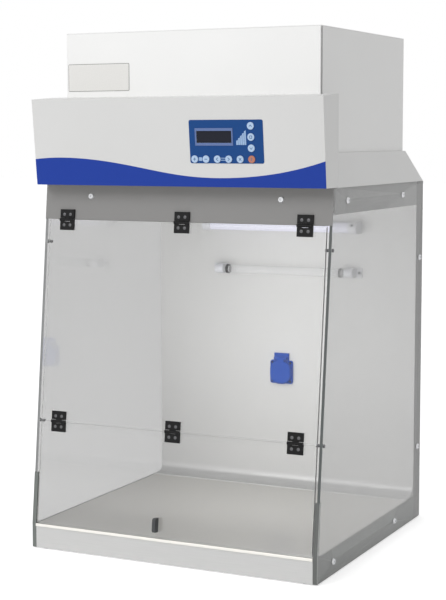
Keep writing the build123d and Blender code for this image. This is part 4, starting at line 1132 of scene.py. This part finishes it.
class HOOD_OT_air_path(bpy.types.Operator):
    """Finish the filter, the blower and what carries them"""

    bl_idname = "hood.air_path"
    bl_label = "Air Path"

    def execute(self, context):
        colours = context.scene.hood_colours
        galvanised = brushed_stainless(
            "galvanised_steel_sheet", colours.galvanised, ALONG_X, roughness=0.45, metallic=0.8
        )
        paint(galvanised, "blower_plate", "inlet_ring", "motor_bracket", "filter_collar")
        pressed = plated_steel("pressed_aluminium", colours.aluminium, 0.35)
        paint(pressed, "impeller", "filter_frame")
        paint(powder_coated_steel("painted_motor_black", colours.motor), "motor")
        paint(pleated_paper("glass_fibre_paper", colours.paper), "filter_media")
        paint(open_cell_foam("open_cell_foam_grey", colours.foam), "prefilter")
        paint(moulded_rubber("moulded_rubber_gasket", colours.rubber), "filter_gasket")
        return {"FINISHED"}


class HOOD_OT_stage(bpy.types.Operator):
    """Set the pale floor, the lamps and the camera"""

    bl_idname = "hood.stage"
    bl_label = "Stage"

    def execute(self, context):
        scene, settings = context.scene, context.scene.hood_stage
        scene.view_settings.view_transform = "Standard"
        self.light_world(scene, settings)
        self.lay_floor(context, settings)
        front = self.hang_lamp(scene, "key_lamp", KEY_LAMP_SIZE, settings.key_power)
        front.location = KEY_LAMP_PLACE
        front.rotation_euler = KEY_LAMP_TO.to_track_quat("-Z", "Y").to_euler()
        cabin = self.hang_lamp(scene, "cabin_lamp", CABIN_LAMP_SIZE, settings.cabin_power)
        cabin.location = CABIN_LAMP_PLACE
        cabin.rotation_euler = CABIN_LAMP_TO.to_track_quat("-Z", "Z").to_euler()
        cabin.visible_camera = False
        cabin.visible_glossy = False
        cabin.visible_transmission = False
        self.place_camera(scene, settings)
        return {"FINISHED"}

    def light_world(self, scene, settings):
        """Soft light from all round, seen as plain white."""
        world = bpy.data.worlds.new("studio_world")
        scene.world = world
        world.use_nodes = True
        world.node_tree.nodes.clear()
        seen = any_ray(world, "Is Camera Ray", "Is Glossy Ray", "Is Transmission Ray")
        strength = add_node(
            world,
            "ShaderNodeMapRange",
            inputs={"Value": seen, "To Min": settings.lift, "To Max": 1.0},
        )
        sky = add_node(
            world,
            "ShaderNodeBackground",
            inputs={"Color": (1.0, 1.0, 1.0, 1.0), "Strength": strength.outputs["Result"]},
        )
        add_node(world, "ShaderNodeOutputWorld", inputs={"Surface": sky.outputs[0]})

    def lay_floor(self, context, settings):
        """A wide matt floor that keeps its shadow and is lifted to white where it is seen."""
        # The lift is whole for the camera and in reflections, and a share of it passes the
        # clear sheets.
        paper = blank_material("matt_paper_floor")
        through = add_node(
            paper,
            "ShaderNodeMath",
            {"operation": "MULTIPLY"},
            {0: any_ray(paper, "Is Transmission Ray"), 1: settings.floor_through},
        )
        seen = add_node(
            paper,
            "ShaderNodeMath",
            {"operation": "MAXIMUM"},
            {0: any_ray(paper, "Is Camera Ray", "Is Glossy Ray"), 1: through.outputs[0]},
        )
        lift = add_node(
            paper,
            "ShaderNodeMath",
            {"operation": "MULTIPLY"},
            {0: seen.outputs[0], 1: settings.floor_lift},
        )
        shader = add_node(
            paper,
            "ShaderNodeBsdfPrincipled",
            inputs={
                "Base Color": (0.9, 0.9, 0.9, 1.0),
                "Roughness": 0.9,
                "Emission Color": (1.0, 1.0, 1.0, 1.0),
                "Emission Strength": lift.outputs[0],
            },
        )
        close_material(paper, shader.outputs["BSDF"])
        bpy.ops.mesh.primitive_plane_add(size=FLOOR_SIZE, location=(0.0, 0.0, 0.0))
        floor = context.active_object
        floor.name = "floor"
        floor.data.materials.append(paper)

    def hang_lamp(self, scene, name, size, power):
        """A rectangular lamp, still to be placed and turned."""
        lamp = bpy.data.lights.new(name, "AREA")
        lamp.shape = "RECTANGLE"
        lamp.size, lamp.size_y = size
        lamp.energy = power
        hung = bpy.data.objects.new(name, lamp)
        scene.collection.objects.link(hung)
        return hung

    def place_camera(self, scene, settings):
        """The camera, standing to the right of the hood's front."""
        lens = bpy.data.cameras.new("hood_camera")
        lens.lens = settings.lens
        lens.shift_x, lens.shift_y = CAMERA_SHIFT
        lens.clip_end = 100.0
        camera = bpy.data.objects.new("hood_camera", lens)
        azimuth, elevation, roll = (math.radians(angle) for angle in CAMERA_ANGLES)
        turn = (
            Matrix.Rotation(azimuth, 4, "Z")
            @ Matrix.Rotation(math.pi / 2 - elevation, 4, "X")
            @ Matrix.Rotation(roll, 4, "Z")
        )
        camera.matrix_world = Matrix.Translation(CAMERA_PLACE) @ turn
        scene.collection.objects.link(camera)
        scene.camera = camera


class HOOD_PT_panel(bpy.types.Panel):
    """Lists the hood's makers in the sidebar"""

    bl_idname = "HOOD_PT_panel"
    bl_label = "Flow Hood"
    bl_space_type = "VIEW_3D"
    bl_region_type = "UI"
    bl_category = "Flow Hood"

    def draw(self, context):
        for operator in OPERATORS:
            self.layout.operator(operator.bl_idname)
        for group in ("hood_colours", "hood_sizes", "hood_stage"):
            settings = getattr(context.scene, group)
            box = self.layout.box()
            for name in settings.bl_rna.properties.keys():
                if name not in ("rna_type", "name"):
                    box.prop(settings, name)


OPERATORS = (
    HOOD_OT_stage,
    HOOD_OT_housing,
    HOOD_OT_fascia,
    HOOD_OT_control_panel,
    HOOD_OT_cabin,
    HOOD_OT_clear_sheets,
    HOOD_OT_hinges,
    HOOD_OT_fittings,
    HOOD_OT_air_path,
)
GROUPS = (HoodColours, HoodSizes, HoodStage)


def register():
    """Makes the settings, the operators and the panel known to Blender."""
    for cls in (*GROUPS, *OPERATORS, HOOD_PT_panel):
        bpy.utils.register_class(cls)
    bpy.types.Scene.hood_colours = PointerProperty(type=HoodColours)
    bpy.types.Scene.hood_sizes = PointerProperty(type=HoodSizes)
    bpy.types.Scene.hood_stage = PointerProperty(type=HoodStage)


def unregister():
    """Takes away what register made known."""
    del bpy.types.Scene.hood_stage
    del bpy.types.Scene.hood_sizes
    del bpy.types.Scene.hood_colours
    for cls in reversed((*GROUPS, *OPERATORS, HOOD_PT_panel)):
        bpy.utils.unregister_class(cls)


def main():
    """Finishes the hood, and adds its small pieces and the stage."""
    register()
    bpy.ops.hood.stage()
    bpy.ops.hood.housing()
    bpy.ops.hood.fascia()
    bpy.ops.hood.control_panel()
    bpy.ops.hood.cabin()
    bpy.ops.hood.clear_sheets()
    bpy.ops.hood.hinges()
    bpy.ops.hood.fittings()
    bpy.ops.hood.air_path()


if __name__ == "__main__":
    main()
